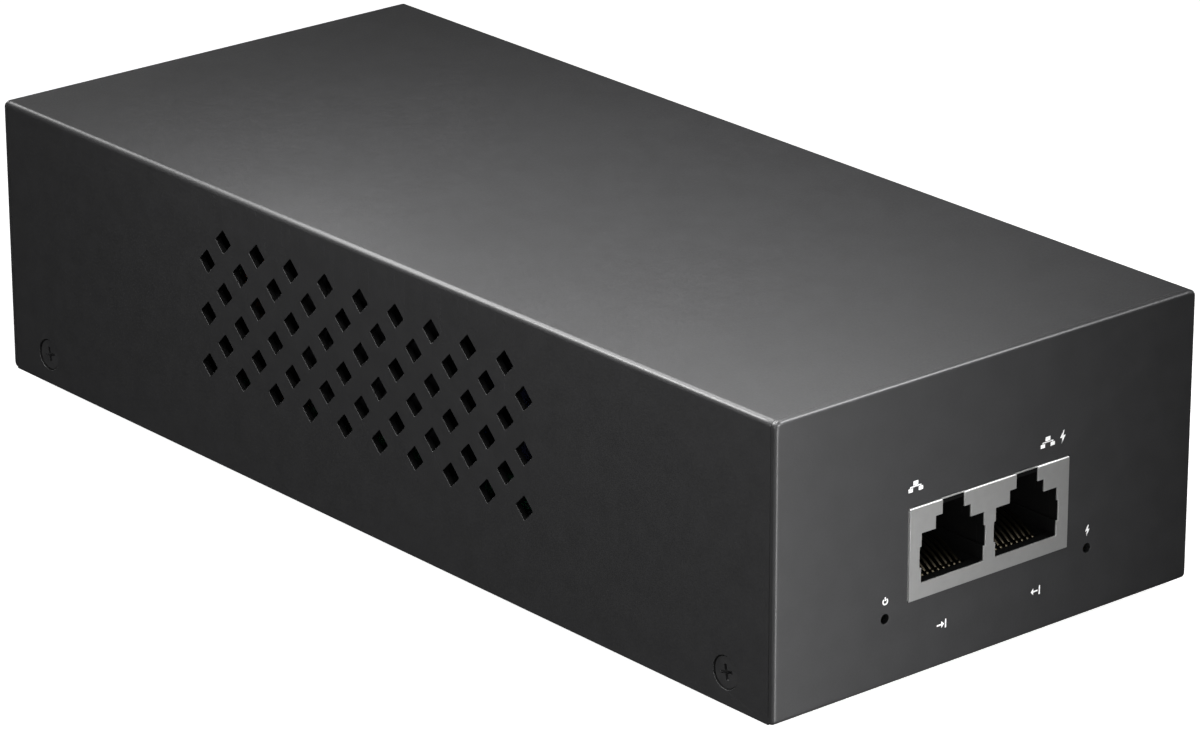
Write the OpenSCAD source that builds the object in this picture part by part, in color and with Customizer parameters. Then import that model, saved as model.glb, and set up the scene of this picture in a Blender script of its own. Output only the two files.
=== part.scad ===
// Power-over-Ethernet injector: a folded sheet-metal case with a dual network jack in its
// front panel, a mains inlet in its rear panel and a power-supply board between them.
// Frame: +Z up, the network ports face -Y, origin on the ground under the middle of the box.

/* [Case] */
// Width of the case, side to side
body_w = 79.2; // [76:0.1:90]
// Length of the case, front face to rear face
body_l = 179; // [176:0.5:200]
// Height of the case without its feet
body_h = 44; // [43:0.1:50]
// Thickness of the case's sheet metal
sheet = 1; // [0.8:0.1:1.2]
// Outside radius of the bends and of the panel edges
edge_r = 1; // [0.6:0.1:1.4]
// Height of the rubber feet below the case
foot_h = 1.5; // [1:0.1:4]

/* [Side vents] */
// Corner-to-corner size of one square vent hole
vent_diag = 3.85; // [2:0.05:4.5]
// Distance between neighbouring holes in a row
vent_pitch = 8.22; // [7:0.01:9]
// Distance between rows
vent_row_pitch = 4.12; // [3.8:0.01:5]
// Height of the lowest row above the case bottom
vent_low_z = 15.5; // [12:0.1:18]
// Number of rows
vent_rows = 6; // [1:1:6]
// Holes in the longer rows
vent_count = 10; // [2:1:12]

/* [Cover screws] */
// Distance of each screw from the front or the rear face
screw_inset = 9.8; // [8:0.1:14]
// Height of each screw above the case bottom
screw_z = 4.8; // [4.2:0.1:7]
// Diameter of the countersunk head
screw_head_d = 4.7; // [4:0.1:5]

/* [Dual network jack] */
// Width of the shield
shield_w = 30.2; // [30:0.1:31]
// Height of the shield
shield_h = 13.7; // [13.6:0.1:14]
// Underside of the shield above the case bottom
shield_z = 11.55; // [11.55:0.05:12]
// Distance that the shield's face stands out of the front panel
shield_proud = 0.25; // [0.1:0.05:0.5]
// Distance between the two port centres
port_pitch = 14; // [13.9:0.1:14.4]
// Width of the plug cavity
port_w = 11.8; // [11.7:0.05:12]
// Width of a network contact
contact_w = 0.45; // [0.35:0.05:0.5]
// Distance between neighbouring contacts
contact_pitch = 1.016; // [1:0.001:1.03]
// Slope of a relaxed contact arm, in degrees
contact_rise = 18; // [15:1:19]

/* [Indicator lights] */
// Diameter of the light holes in the front panel
light_hole_d = 1.5; // [1:0.1:3]
// Distance of the light holes from the middle
light_x = 19.3; // [19:0.1:24]
// Height of the light holes above the case bottom
light_z = 10.2; // [10:0.1:12]

/* [Mains inlet] */
// Width of the inlet's flange
inlet_flange_w = 50; // [49:0.5:52]
// Height of the inlet's flange
inlet_flange_h = 22.6; // [22:0.1:25]
// Thickness of the inlet's flange
inlet_flange_t = 3; // [2:0.1:4]
// Distance between the inlet's two screws
inlet_screw_pitch = 40; // [39:0.1:41]

/* [Wall hanging] */
// Distance between the two keyholes
keyhole_pitch = 100; // [60:1:120]
// Diameter of the keyhole's entry
keyhole_d = 8; // [7:0.1:9]
// Width of the keyhole's slot
keyhole_slot_w = 4; // [3:0.1:4.5]

/* [Circuit board] */
// Width of the board
board_w = 72; // [70:0.5:73]
// Length of the board
board_l = 140; // [138:0.5:142]
// Distance from the front face to the board's front edge
board_u = 6; // [6:0.1:8]
// Thickness of the board
board_t = 1.6; // [1.2:0.1:1.6]
// Top of the board above the case bottom
board_z = 11.5; // [11.4:0.05:11.55]

/* [Hidden] */
$fn = 48;
eps = 0.01;
gap = 0.05;
// The case is set so that the whole object, flange and shield included, is centred on Y.
y_front = shield_proud - (body_l + inlet_flange_t + shield_proud) / 2;

inner_w = body_w - 2 * sheet;
chassis_w = inner_w - 2 * gap;
cover_gap = 0.05;
mid_u = body_l / 2;

// Screw centres, as [side, distance from the front face]
cover_screw_at = [for (s = [-1, 1], u = [screw_inset, body_l - screw_inset]) [s, u]];
screw_sink = 0.25;
screw_shank_d = 2.4;
screw_l = 5;

foot_d = 9;
foot_x = 31;
foot_u = 14;

standoff_x = 31;
standoff_at = [for (x = [-standoff_x, standoff_x], u = [board_u + 5, board_u + board_l - 5]) [x, u]];
standoff_flats = 5;
standoff_stud_d = 4.2;

// Dual jack
shield_t = 0.25;
jack_depth = 21.2;
housing_gap = 0.05;
port_x = [-port_pitch / 2, port_pitch / 2];
port_low_z = 13.85;
port_shoulder_z = 21.2;
port_step_w = 6.6;
port_step_z = 23.07;
latch_w = 4.15;
latch_z = 24.38;
port_side_w = 12.45;
port_side_z = [16.1, 19.2];
port_depth = 15;
contact_n = 8;
contact_x = [for (i = [0:contact_n - 1]) (i - (contact_n - 1) / 2) * contact_pitch];
contact_t = 0.25;
recess_z = 12.5;
recess_w = 8.3;
recess_u = [1.6, 16.2];
fold_u = 2.4;
fold_r = 0.65;
fold_z = recess_z + 0.1 + fold_r;
hinge_u = fold_u + 0.17;
hinge_z = fold_z + fold_r - contact_t / 2;
arm_l = 9.2;
comb_u = [10.3, 14.6];
comb_z = 17;
comb_slot_w = 0.7;
tail_row_u = [13, 15.54];
jack_peg_at = [[-9.2, 8.9], [9.2, 8.9]];
jack_peg_d = 3;

// Mains inlet, with heights from its own centre
inlet_z = body_h / 2;
inlet_body = [27, 19.4];
inlet_cut = [27.6, 20];
inlet_recess = [24.2, 16.2];
inlet_recess_depth = 17;
inlet_body_depth = 17;
pin_spread = 7;
pin_offset = 2;
pin_w = 2;
pin_h = 4;
tab_w = 0.8;
tab_h = 6;
tab_l = 9;
faston_u = body_l - inlet_body_depth - 1.4;
faston_l = 13;
stud_at = [25, 161];
stud_d = 3.9;

// Board layout: [distance from the middle, distance from the front face]
magnetics_x = 9;
magnetics_u = 35;
controller_at = [25, 34];
output_cap_at = [[-26, 50], [-26, 62]];
inductor_at = [2, 58];
opto_at = [-17, 76];
transformer_at = [0, 86];
pwm_at = [20, 99];
y_cap_at = [[-19, 90], [19, 76]];
bridge_at = [-12, 110];
bulk_cap_at = [13, 113];
choke_at = [-13, 125];
x_cap_at = [9, 131];
varistor_at = [27, 126];
thermistor_at = [20, 139];
fuse_at = [-31, 127];
header_at = [-21, 140];
heatsink_x = 31;
secondary_sink_u = [50, 92];
primary_sink_u = [74, 116];
lead_d = 0.8;
lead_hole_d = 1.1;
lead_end_z = board_z - board_t - 1.2;

function pair_x(at, d) = [[at[0] - d, at[1]], [at[0] + d, at[1]]];
function row_x(at, n, p) = [for (i = [0:n - 1]) [at[0] + (i - (n - 1) / 2) * p, at[1]]];
function row_u(at, n, p) = [for (i = [0:n - 1]) [at[0], at[1] + (i - (n - 1) / 2) * p]];

fuse_leads = row_u(fuse_at, 2, 5);
thermistor_leads = pair_x(thermistor_at, 3.5);
varistor_leads = pair_x(varistor_at, 3.5);
x_cap_leads = pair_x(x_cap_at, 7.5);
y_cap_leads = [for (at = y_cap_at) each row_u(at, 2, 7)];
choke_leads = [for (s = [-1, 1], t = [-1, 1]) [choke_at[0] + 6 * s, choke_at[1] + 8.2 * t]];
bridge_leads = row_x(bridge_at, 4, 4);
bulk_cap_leads = pair_x(bulk_cap_at, 3.75);
output_cap_leads = [for (at = output_cap_at) each pair_x(at, 2.5)];
inductor_leads = pair_x(inductor_at, 5.5);
primary_leads = row_u([-28.6, 88], 3, 2.54);
secondary_leads = row_u([28.6, 66], 3, 2.54);
sink_leads = [for (u = [5, 37]) each [[-heatsink_x - 1, primary_sink_u[0] + u],
                                      [heatsink_x + 1, secondary_sink_u[0] + u]]];
transformer_leads = [for (t = [-1, 1]) each row_x([transformer_at[0], transformer_at[1] + 11.2 * t], 5, 5)];
header_leads = pair_x(header_at, 1.98);
lead_holes = concat(fuse_leads, thermistor_leads, varistor_leads, x_cap_leads, y_cap_leads, choke_leads,
                    bridge_leads, bulk_cap_leads, output_cap_leads, inductor_leads, primary_leads,
                    secondary_leads, sink_leads, transformer_leads, header_leads);

// Wire routes inside the case, chosen by hand: [x, distance from the front face, height]
line_route = [[-7, 147.4, 20], [-7.2, 144.6, 20.2], [-9.5, 140.6, 23], [-14, 138.2, 27.4],
              [-19, 138, 30], [-22.4, 139, 29.6], [-23, 140, 27.2], [-23, 140, 25.2]];
neutral_route = [[7, 147.4, 20], [6.8, 144.6, 20.2], [2, 141.4, 24.6], [-6, 141.6, 31],
                 [-12.4, 142, 34.2], [-17.4, 141.6, 33.4], [-19, 140.4, 29.4], [-19, 140, 25.2]];
earth_route = [[0, 147.4, 24], [0.2, 144.8, 24.3], [4, 142.8, 28], [12, 144.6, 28.4], [20.6, 148.6, 20],
               [24.4, 150.6, 10], [25, 152.2, 3.4], [25, 154.4, 2.8]];
wire_d = 1.9;
wire_sides = 10;

// ---- shared shapes ----

// Inside this, x is from the middle, y is back from the front face, z is up from the case bottom.
module in_case() translate([0, y_front, foot_h]) children();

// A block given by its low and high corners
module block(low, high) translate(low) cube(high - low);

// An upright rod from z0 to z1
module rod(at, d, z0, z1) translate([at[0], at[1], z0]) cylinder(d = d, h = z1 - z0);

// Extrudes a flat shape drawn as [back, up] across the width w, centred on x
module across(w) rotate([90, 0, 90]) translate([0, 0, -w / 2]) linear_extrude(w) children();

// Extrudes a flat shape drawn as [right, up] from u0 back to u1
module backward(u0, u1) translate([0, u1, 0]) rotate([90, 0, 0]) linear_extrude(u1 - u0) children();

// Outline of a rectangle from [0, 0] to [w, h] with rounded corners
function round_rect(w, h, r, n = 6) =
    [for (c = [[w - r, r, 270], [w - r, h - r, 0], [r, h - r, 90], [r, r, 180]], i = [0:n])
        [c[0] + r * cos(c[2] + 90 * i / n), c[1] + r * sin(c[2] + 90 * i / n)]];

// The full outer box of the case, with every edge rounded
module outer_box() {
    intersection() {
        translate([-body_w / 2, 0, 0]) linear_extrude(body_h) polygon(round_rect(body_w, body_l, edge_r));
        across(body_w) polygon(round_rect(body_l, body_h, edge_r));
        translate([-body_w / 2, 0, 0]) backward(0, body_l) polygon(round_rect(body_w, body_h, edge_r));
    }
}

// Straight pins through the board, from z1 down to the trimmed ends below it
module leads(places, z1, d = lead_d) {
    for (at = places) rod(at, d, lead_end_z, z1);
}

// A surface-mounted package: moulded body and bent leads down both long sides
module chip(at, size, n, pitch, lead_w) {
    stand = 0.2;
    foot_l = 0.9;
    translate([at[0], at[1], board_z]) {
        translate([-size[0] / 2, -size[1] / 2, stand]) cube(size);
        for (s = [-1, 1], i = [0:n - 1])
            translate([s * size[0] / 2, (i - (n - 1) / 2) * pitch - lead_w / 2, 0]) {
                translate([s > 0 ? -0.2 : -0.5, 0, size[2] / 2]) cube([0.7, lead_w, 0.2]);
                translate([s > 0 ? 0.3 : -0.5, 0, 0]) cube([0.2, lead_w, size[2] / 2 + 0.2]);
                translate([s > 0 ? 0.3 : -0.3 - foot_l, 0, 0]) cube([foot_l, lead_w, 0.2]);
            }
    }
}

// Smooth route through hand-chosen points, as a Catmull-Rom curve
function route_point(p, i, t) =
    let (a = p[max(i - 1, 0)], b = p[i], c = p[i + 1], d = p[min(i + 2, len(p) - 1)])
    0.5 * (2 * b + (c - a) * t + (2 * a - 5 * b + 4 * c - d) * t * t + (3 * b - a - 3 * c + d) * t * t * t);
function route(p, steps) =
    concat([for (i = [0:len(p) - 2], k = [0:steps - 1]) route_point(p, i, k / steps)], [p[len(p) - 1]]);
function unit(v) = v / norm(v);
function heading(p, i) = unit(p[min(i + 1, len(p) - 1)] - p[max(i - 1, 0)]);

// A round wire swept along a route; side_hint is a direction that the route never follows
module wire(points, side_hint) {
    path = route(points, 3);
    rings = len(path);
    verts = [for (i = [0:rings - 1])
        let (t = heading(path, i), a = unit(cross(t, side_hint)), b = cross(t, a))
        for (k = [0:wire_sides - 1])
            path[i] + wire_d / 2 * (a * cos(360 * k / wire_sides) + b * sin(360 * k / wire_sides))];
    sides = [for (i = [0:rings - 2], k = [0:wire_sides - 1])
        let (k2 = (k + 1) % wire_sides)
        [i * wire_sides + k, (i + 1) * wire_sides + k, (i + 1) * wire_sides + k2, i * wire_sides + k2]];
    start_cap = [for (k = [0:wire_sides - 1]) k];
    end_cap = [for (k = [wire_sides - 1:-1:0]) (rings - 1) * wire_sides + k];
    polyhedron(verts, concat(sides, [start_cap], [end_cap]), convexity = 6);
}

// ---- case ----

// Countersunk screw place in a side wall: +X leaves the case, origin on the outer face
module at_cover_screw(s, u) {
    translate([s * body_w / 2, u, screw_z]) mirror([s > 0 ? 0 : 1, 0, 0]) rotate([0, 90, 0]) children();
}

module cover_screw_cut() {
    cone_d = screw_head_d + 2 * gap;
    translate([0, 0, -screw_sink]) cylinder(d = cone_d + 0.2, h = 1);
    translate([0, 0, -screw_sink - 1.05]) cylinder(d1 = cone_d - 2.1, d2 = cone_d, h = 1.05);
    translate([0, 0, -6]) cylinder(d = screw_shank_d + 0.2, h = 6);
}

module top_cover() color([0.17, 0.17, 0.18]) in_case() {
    low_u = sheet + cover_gap;
    high_u = body_l - sheet - cover_gap;
    difference() {
        intersection() {
            translate([-body_w / 2, 0, 0]) backward(low_u, high_u) polygon(round_rect(body_w, body_h, edge_r));
            block([-body_w, 0, 0], [body_w, body_l, body_h]);
        }
        block([-inner_w / 2, 0, -1], [inner_w / 2, body_l, body_h - sheet]);
        block([-body_w, 0, -1], [body_w, body_l, 0]);
        for (row = [0:vent_rows - 1]) {
            n = row % 2 == 0 ? vent_count : vent_count - 1;
            for (i = [0:n - 1])
                translate([0, mid_u + (i - (n - 1) / 2) * vent_pitch, vent_low_z + row * vent_row_pitch])
                    across(body_w + 2) circle(d = vent_diag, $fn = 4);
        }
        for (p = cover_screw_at) at_cover_screw(p[0], p[1]) cover_screw_cut();
    }
}

module keyhole(u) {
    translate([0, u, -1]) cylinder(d = keyhole_d, h = 3);
    block([-keyhole_slot_w / 2, u, -1], [keyhole_slot_w / 2, u + 8, 2]);
    translate([0, u + 8, -1]) cylinder(d = keyhole_slot_w, h = 3);
}

// Flat outline of the inlet: a rectangle with its two upper corners cut off
module inlet_outline(size, cut) {
    w = size[0] / 2;
    h = size[1] / 2;
    translate([0, inlet_z]) polygon([[-w, -h], [w, -h], [w, h - cut], [w - cut, h], [cut - w, h], [-w, h - cut]]);
}

module base_chassis() color([0.17, 0.17, 0.18]) in_case() {
    flange_u = 8;
    flange_x = chassis_w / 2;
    flange_z = body_h - sheet - gap;
    tab_high_z = 9.5;
    tab_u = [4.5, 15];
    difference() {
        union() {
            intersection() {
                outer_box();
                union() {
                    block([-body_w, 0, 0], [body_w, sheet, body_h]);
                    block([-body_w, body_l - sheet, 0], [body_w, body_l, body_h]);
                }
            }
            block([-flange_x, sheet / 2, 0], [flange_x, body_l - sheet / 2, sheet]);
            for (m = [0, 1]) translate([0, m * body_l, 0]) mirror([0, m, 0]) {
                block([-flange_x + 2, sheet / 2, flange_z - sheet], [flange_x - 2, flange_u, flange_z]);
                for (s = [0, 1]) mirror([s, 0, 0]) {
                    block([flange_x - sheet, tab_u[0], 0], [flange_x, tab_u[1], tab_high_z]);
                    block([flange_x - sheet, sheet / 2, 14], [flange_x, flange_u, 40]);
                }
            }
            rod(stud_at, stud_d, sheet / 2, 9);
        }
        for (p = cover_screw_at) at_cover_screw(p[0], p[1]) cover_screw_cut();
        block([-shield_w / 2 - 0.1, -1, shield_z - 0.1],
              [shield_w / 2 + 0.1, 3, shield_z + shield_h + 0.1]);
        for (s = [-1, 1]) translate([s * light_x, -1, light_z]) rotate([-90, 0, 0]) cylinder(d = light_hole_d, h = 3);
        backward(body_l - 3, body_l + 1) inlet_outline(inlet_cut, 5);
        for (s = [-1, 1]) translate([s * inlet_screw_pitch / 2, body_l - 3, inlet_z])
            rotate([-90, 0, 0]) cylinder(d = 3.4, h = 5);
        for (s = [-1, 1]) keyhole(mid_u + s * keyhole_pitch / 2);
        for (at = standoff_at) rod(at, standoff_stud_d + 2 * gap, -1, 2);
    }
}

module cross_recess(depth) {
    for (a = [0, 90]) rotate([0, 0, a]) translate([-1.35, -0.22, -depth]) cube([2.7, 0.44, depth + 1]);
}

module cover_screws() color([0.24, 0.24, 0.25]) in_case() {
    cone_h = 1.1;
    for (p = cover_screw_at) at_cover_screw(p[0], p[1]) difference() {
        union() {
            translate([0, 0, -screw_sink - cone_h])
                cylinder(d1 = screw_head_d - 2 * cone_h, d2 = screw_head_d, h = cone_h);
            translate([0, 0, -screw_l]) cylinder(d = screw_shank_d, h = screw_l - screw_sink - cone_h + 0.2);
        }
        translate([0, 0, -screw_sink]) cross_recess(0.9);
    }
}

module foot(s, u) color([0.08, 0.08, 0.08]) in_case() {
    translate([s * foot_x, u, -foot_h]) {
        cylinder(d1 = foot_d - 1, d2 = foot_d, h = foot_h);
    }
}

module foot_front_left() foot(-1, foot_u);
module foot_front_right() foot(1, foot_u);
module foot_rear_left() foot(-1, body_l - foot_u);
module foot_rear_right() foot(1, body_l - foot_u);

module insulation_sheet() color([0.9, 0.88, 0.8]) in_case() {
    difference() {
        block([-35, board_u + 1, sheet], [35, board_u + board_l - 1, sheet + 0.4]);
        for (at = standoff_at) rod(at, 9, 0, 3);
        for (s = [-1, 1]) translate([0, mid_u + s * keyhole_pitch / 2 + 4, 0]) block([-8, -12, 0], [8, 12, 3]);
    }
}

module board_standoffs() color([0.78, 0.7, 0.45]) in_case() {
    hex_d = standoff_flats / cos(30);
    top_z = board_z - board_t;
    for (at = standoff_at) difference() {
        union() {
            translate([at[0], at[1], sheet]) cylinder(d = hex_d, h = top_z - sheet, $fn = 6);
            rod(at, standoff_stud_d, 0, sheet + eps);
        }
        rod(at, 2.9, 3, top_z + 1);
    }
}

module board_screws() color([0.75, 0.75, 0.76]) in_case() {
    for (at = standoff_at) difference() {
        union() {
            rod(at, 5.5, board_z, board_z + 2);
            rod(at, 2.8, board_z - 6, board_z + 1);
        }
        translate([at[0], at[1], board_z + 2]) cross_recess(1.2);
    }
}

// ---- circuit board ----

module main_board() color([0.09, 0.33, 0.17]) in_case() {
    low_z = board_z - board_t;
    notch = 5.4;
    difference() {
        block([-board_w / 2, board_u, low_z], [board_w / 2, board_u + board_l, board_z]);
        for (s = [-1, 1])
            block([s * light_x - notch / 2, board_u - 1, low_z - 1], [s * light_x + notch / 2, board_u + 3, board_z + 1]);
        for (at = standoff_at) rod(at, 3.2, low_z - 1, board_z + 1);
        for (at = lead_holes) rod(at, lead_hole_d, low_z - 1, board_z + 1);
        for (x = port_x, i = [0:contact_n - 1])
            rod([x + contact_x[i], tail_row_u[i % 2]], 0.9, low_z - 1, board_z + 1);
        for (at = jack_peg_at) rod(at, jack_peg_d + 0.2, low_z - 1, board_z + 1);
        for (s = [-1, 1], t = [-1, 1]) rod([s * light_x + t * 1.27, board_u + 4.65], 0.9, low_z - 1, board_z + 1);
        for (s = [-1, 1])
            block([s * (shield_w - shield_t) / 2 - 0.4, 13, low_z - 1], [s * (shield_w - shield_t) / 2 + 0.4, 15.6, board_z + 1]);
    }
}

// ---- dual network jack ----

// Flat outline of a port opening in the shield, open through the shield's top edge
module shield_port() {
    top_z = shield_z + shield_h + 1;
    translate([-port_w / 2, port_low_z]) square([port_w, port_shoulder_z - port_low_z]);
    translate([-port_side_w / 2, port_side_z[0]]) square([port_side_w, port_side_z[1] - port_side_z[0]]);
    translate([-port_step_w / 2, port_shoulder_z - 1]) square([port_step_w, port_step_z - port_shoulder_z + 1]);
    translate([-latch_w / 2, port_step_z - 1]) square([latch_w, top_z - port_step_z + 1]);
}

// Flat outline of the plug cavity in the moulded housing
module housing_port() {
    translate([-port_w / 2, port_low_z]) square([port_w, port_shoulder_z - port_low_z]);
    translate([-port_side_w / 2, port_side_z[0]]) square([port_side_w, port_side_z[1] - port_side_z[0]]);
    translate([-port_step_w / 2, port_shoulder_z - 1]) square([port_step_w, port_step_z - port_shoulder_z + 1]);
    translate([-latch_w / 2, port_step_z - 1]) square([latch_w, latch_z - port_step_z + 1]);
}

module jack_shield() color([0.8, 0.8, 0.8]) in_case() {
    half_w = shield_w / 2;
    high_z = shield_z + shield_h;
    difference() {
        union() {
            block([-half_w, -shield_proud, shield_z], [half_w, jack_depth, high_z]);
            for (s = [0, 1]) mirror([s, 0, 0])
                block([half_w - shield_t, 13.3, lead_end_z], [half_w, 15.3, high_z]);
        }
        block([-half_w + shield_t, shield_t - shield_proud, shield_z - 4],
              [half_w - shield_t, jack_depth - shield_t, high_z - shield_t]);
        for (x = port_x) translate([x, 0, 0]) {
            backward(-1, 1) shield_port();
            block([-latch_w / 2, -1, high_z - 1], [latch_w / 2, 1.2, high_z + 1]);
        }
    }
}

module jack_housing() color([0.05, 0.05, 0.05]) in_case() {
    half_w = shield_w / 2 - shield_t - housing_gap;
    low_z = board_z + gap;
    high_z = shield_z + shield_h - shield_t - housing_gap;
    tooth_w = contact_pitch - comb_slot_w;
    difference() {
        union() {
            difference() {
                block([-half_w, shield_t - shield_proud + housing_gap, low_z], [half_w, jack_depth - shield_t - gap, high_z]);
                for (x = port_x) translate([x, 0, 0]) {
                    backward(-1, port_depth) housing_port();
                    block([-recess_w / 2, recess_u[0], recess_z], [recess_w / 2, recess_u[1], port_low_z + 1]);
                }
            }
            for (x = port_x, i = [0:contact_n])
                translate([x + (i - contact_n / 2) * contact_pitch, 0, 0])
                    block([-tooth_w / 2, comb_u[0], recess_z - 0.2], [tooth_w / 2, comb_u[1], comb_z]);
            for (at = jack_peg_at) rod(at, jack_peg_d, board_z - 3, low_z + 1);
        }
        for (x = port_x, i = [0:contact_n - 1])
            translate([x + contact_x[i], tail_row_u[i % 2], low_z - 1])
                block([-0.3, -0.2, 0], [0.3, 0.2, 3]);
    }
}

// The fixed part of each contact: solder tail, run under the cavity and the fold at its front
module contact_tails(x) {
    for (i = [0:contact_n - 1]) translate([x + contact_x[i], 0, 0]) across(contact_w) {
        tail_u = tail_row_u[i % 2];
        difference() {
            translate([fold_u, fold_z]) circle(r = fold_r);
            translate([fold_u, fold_z]) circle(r = fold_r - contact_t);
            translate([fold_u, fold_z - 1]) square([1, 2]);
        }
        translate([fold_u - eps, fold_z - fold_r]) square([tail_u - fold_u + contact_t / 2, contact_t]);
        translate([tail_u - contact_t / 2, lead_end_z]) square([contact_t, fold_z - fold_r - lead_end_z + contact_t]);
    }
}

// The springy arm of each contact, which rises towards the back and is pushed down by a plug
module contact_arms(x) {
    for (i = [0:contact_n - 1]) translate([x + contact_x[i], 0, 0]) across(contact_w)
        translate([hinge_u, hinge_z]) rotate(contact_rise) {
            circle(d = contact_t);
            translate([0, -contact_t / 2]) square([arm_l, contact_t]);
            translate([arm_l, 0]) circle(d = contact_t);
        }
}

module contact_tails_in() color([0.85, 0.68, 0.3]) in_case() contact_tails(port_x[0]);
module contact_tails_out() color([0.85, 0.68, 0.3]) in_case() contact_tails(port_x[1]);
module contact_arms_in() color([0.85, 0.68, 0.3]) in_case() contact_arms(port_x[0]);
module contact_arms_out() color([0.85, 0.68, 0.3]) in_case() contact_arms(port_x[1]);

// ---- indicator lights ----

light_base_u = board_u - 0.3;

module indicator(s) {
    r = 1.5;
    translate([s * light_x, light_base_u, light_z]) rotate([90, 0, 0]) rotate_extrude() {
        square([r, 3.1]);
        square([r + 0.4, 1]);
        translate([0, 3.1]) intersection() {
            circle(r = r);
            square([r, r]);
        }
    }
}

module indicator_leads(s) {
    hole_u = board_u + 4.65;
    for (t = [-1, 1]) translate([s * light_x + t * 1.27, 0, 0]) across(0.45) {
        translate([light_base_u, light_z - 0.225]) square([1.6, 0.45]);
        translate([light_base_u + 1.15, light_z - 0.225]) square([0.45, board_z + 1 - light_z]);
        translate([light_base_u + 1.15, board_z + 0.4]) square([hole_u - light_base_u - 0.925, 0.45]);
        translate([hole_u - 0.225, lead_end_z]) square([0.45, board_z + 0.6 - lead_end_z]);
    }
}

module power_light() color([0.3, 0.75, 0.35, 0.8]) in_case() indicator(-1);
module output_light() color([0.9, 0.65, 0.2, 0.8]) in_case() indicator(1);
module power_light_leads() color([0.7, 0.7, 0.7]) in_case() indicator_leads(-1);
module output_light_leads() color([0.7, 0.7, 0.7]) in_case() indicator_leads(1);

// ---- data side of the board ----

module data_transformer(x) chip([x, magnetics_u], [11, 15.5, 5.6], 12, 1.27, 0.5);
module data_transformer_in() color([0.07, 0.07, 0.08]) in_case() data_transformer(-magnetics_x);
module data_transformer_out() color([0.07, 0.07, 0.08]) in_case() data_transformer(magnetics_x);
module port_controller() color([0.07, 0.07, 0.08]) in_case() chip(controller_at, [7.5, 13, 2.3], 10, 1.27, 0.45);

// ---- mains inlet ----

module inlet_housing() color([0.06, 0.06, 0.06]) in_case() {
    face_u = body_l + inlet_flange_t;
    w = inlet_flange_w / 2;
    h = inlet_flange_h / 2;
    back_u = body_l - inlet_body_depth;
    difference() {
        union() {
            backward(body_l, face_u) translate([0, inlet_z])
                polygon([[-w, -5], [-w, 5], [-17, h], [17, h], [w, 5], [w, -5], [17, -h], [-17, -h]]);
            backward(back_u, body_l + 1) inlet_outline(inlet_body, 5);
        }
        backward(face_u - inlet_recess_depth, face_u + 1) inlet_outline(inlet_recess, 4.6);
        for (s = [-1, 1]) translate([s * inlet_screw_pitch / 2, face_u, inlet_z]) rotate([90, 0, 0]) {
            cylinder(d = 3.4, h = 8);
            translate([0, 0, -eps]) cylinder(d1 = 6.2, d2 = 3, h = 1.6);
        }
        for (p = [[-pin_spread, -pin_offset], [pin_spread, -pin_offset], [0, pin_offset]])
            translate([p[0], 0, inlet_z + p[1]])
                block([-pin_w / 2 - gap, back_u - 1, -pin_h / 2 - gap], [pin_w / 2 + gap, back_u + 8, pin_h / 2 + gap]);
    }
}

// One blade with its rear tab; the tip's edges are chamfered
module inlet_pin(x, z) {
    tip_u = body_l + inlet_flange_t - 3;
    back_u = body_l - inlet_body_depth;
    translate([x, 0, inlet_z + z]) {
        across(pin_w) polygon([[back_u - 1, -pin_h / 2], [tip_u - 1, -pin_h / 2], [tip_u, -pin_h / 2 + 0.8],
                               [tip_u, pin_h / 2 - 0.8], [tip_u - 1, pin_h / 2], [back_u - 1, pin_h / 2]]);
        block([-tab_w / 2, back_u - tab_l, -tab_h / 2], [tab_w / 2, back_u - 0.5, tab_h / 2]);
    }
}

module line_pin() color([0.8, 0.79, 0.75]) in_case() inlet_pin(-pin_spread, -pin_offset);
module neutral_pin() color([0.8, 0.79, 0.75]) in_case() inlet_pin(pin_spread, -pin_offset);
module earth_pin() color([0.8, 0.79, 0.75]) in_case() inlet_pin(0, pin_offset);

module at_inlet_screw(s) {
    translate([s * inlet_screw_pitch / 2, body_l + inlet_flange_t, inlet_z]) rotate([-90, 0, 0]) children();
}

module inlet_screws() color([0.24, 0.24, 0.25]) in_case() {
    for (s = [-1, 1]) at_inlet_screw(s) difference() {
        union() {
            translate([0, 0, -1.6]) cylinder(d1 = 2.8, d2 = 5.8, h = 1.5);
            translate([0, 0, -9]) cylinder(d = 2.8, h = 8);
        }
        translate([0, 0, -0.1]) cross_recess(1);
    }
}

module inlet_nuts() color([0.75, 0.75, 0.76]) in_case() {
    nut_z = -inlet_flange_t - sheet - 2.4;
    for (s = [-1, 1]) at_inlet_screw(s) translate([0, 0, nut_z]) difference() {
        cylinder(d = 5.5 / cos(30), h = 2.4, $fn = 6);
        translate([0, 0, -1]) cylinder(d = 2.9, h = 5);
    }
}

module terminal_sleeves() color([0.75, 0.12, 0.1]) in_case() {
    for (p = [[-pin_spread, -pin_offset], [pin_spread, -pin_offset], [0, pin_offset]])
        translate([p[0], faston_u, inlet_z + p[1]]) difference() {
            block([-1.9, -faston_l, -4], [1.9, 0, 4]);
            block([-tab_w / 2 - gap, -tab_l, -tab_h / 2 - gap], [tab_w / 2 + gap, 1, tab_h / 2 + gap]);
        }
}

module line_wire() color([0.42, 0.22, 0.1]) in_case() wire(line_route, [0.3, 0.6, 0.7]);
module neutral_wire() color([0.1, 0.25, 0.6]) in_case() wire(neutral_route, [0.2, 1, 0.1]);
module earth_wire() color([0.35, 0.6, 0.15]) in_case() wire(earth_route, [1, 0.2, 0.9]);

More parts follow.
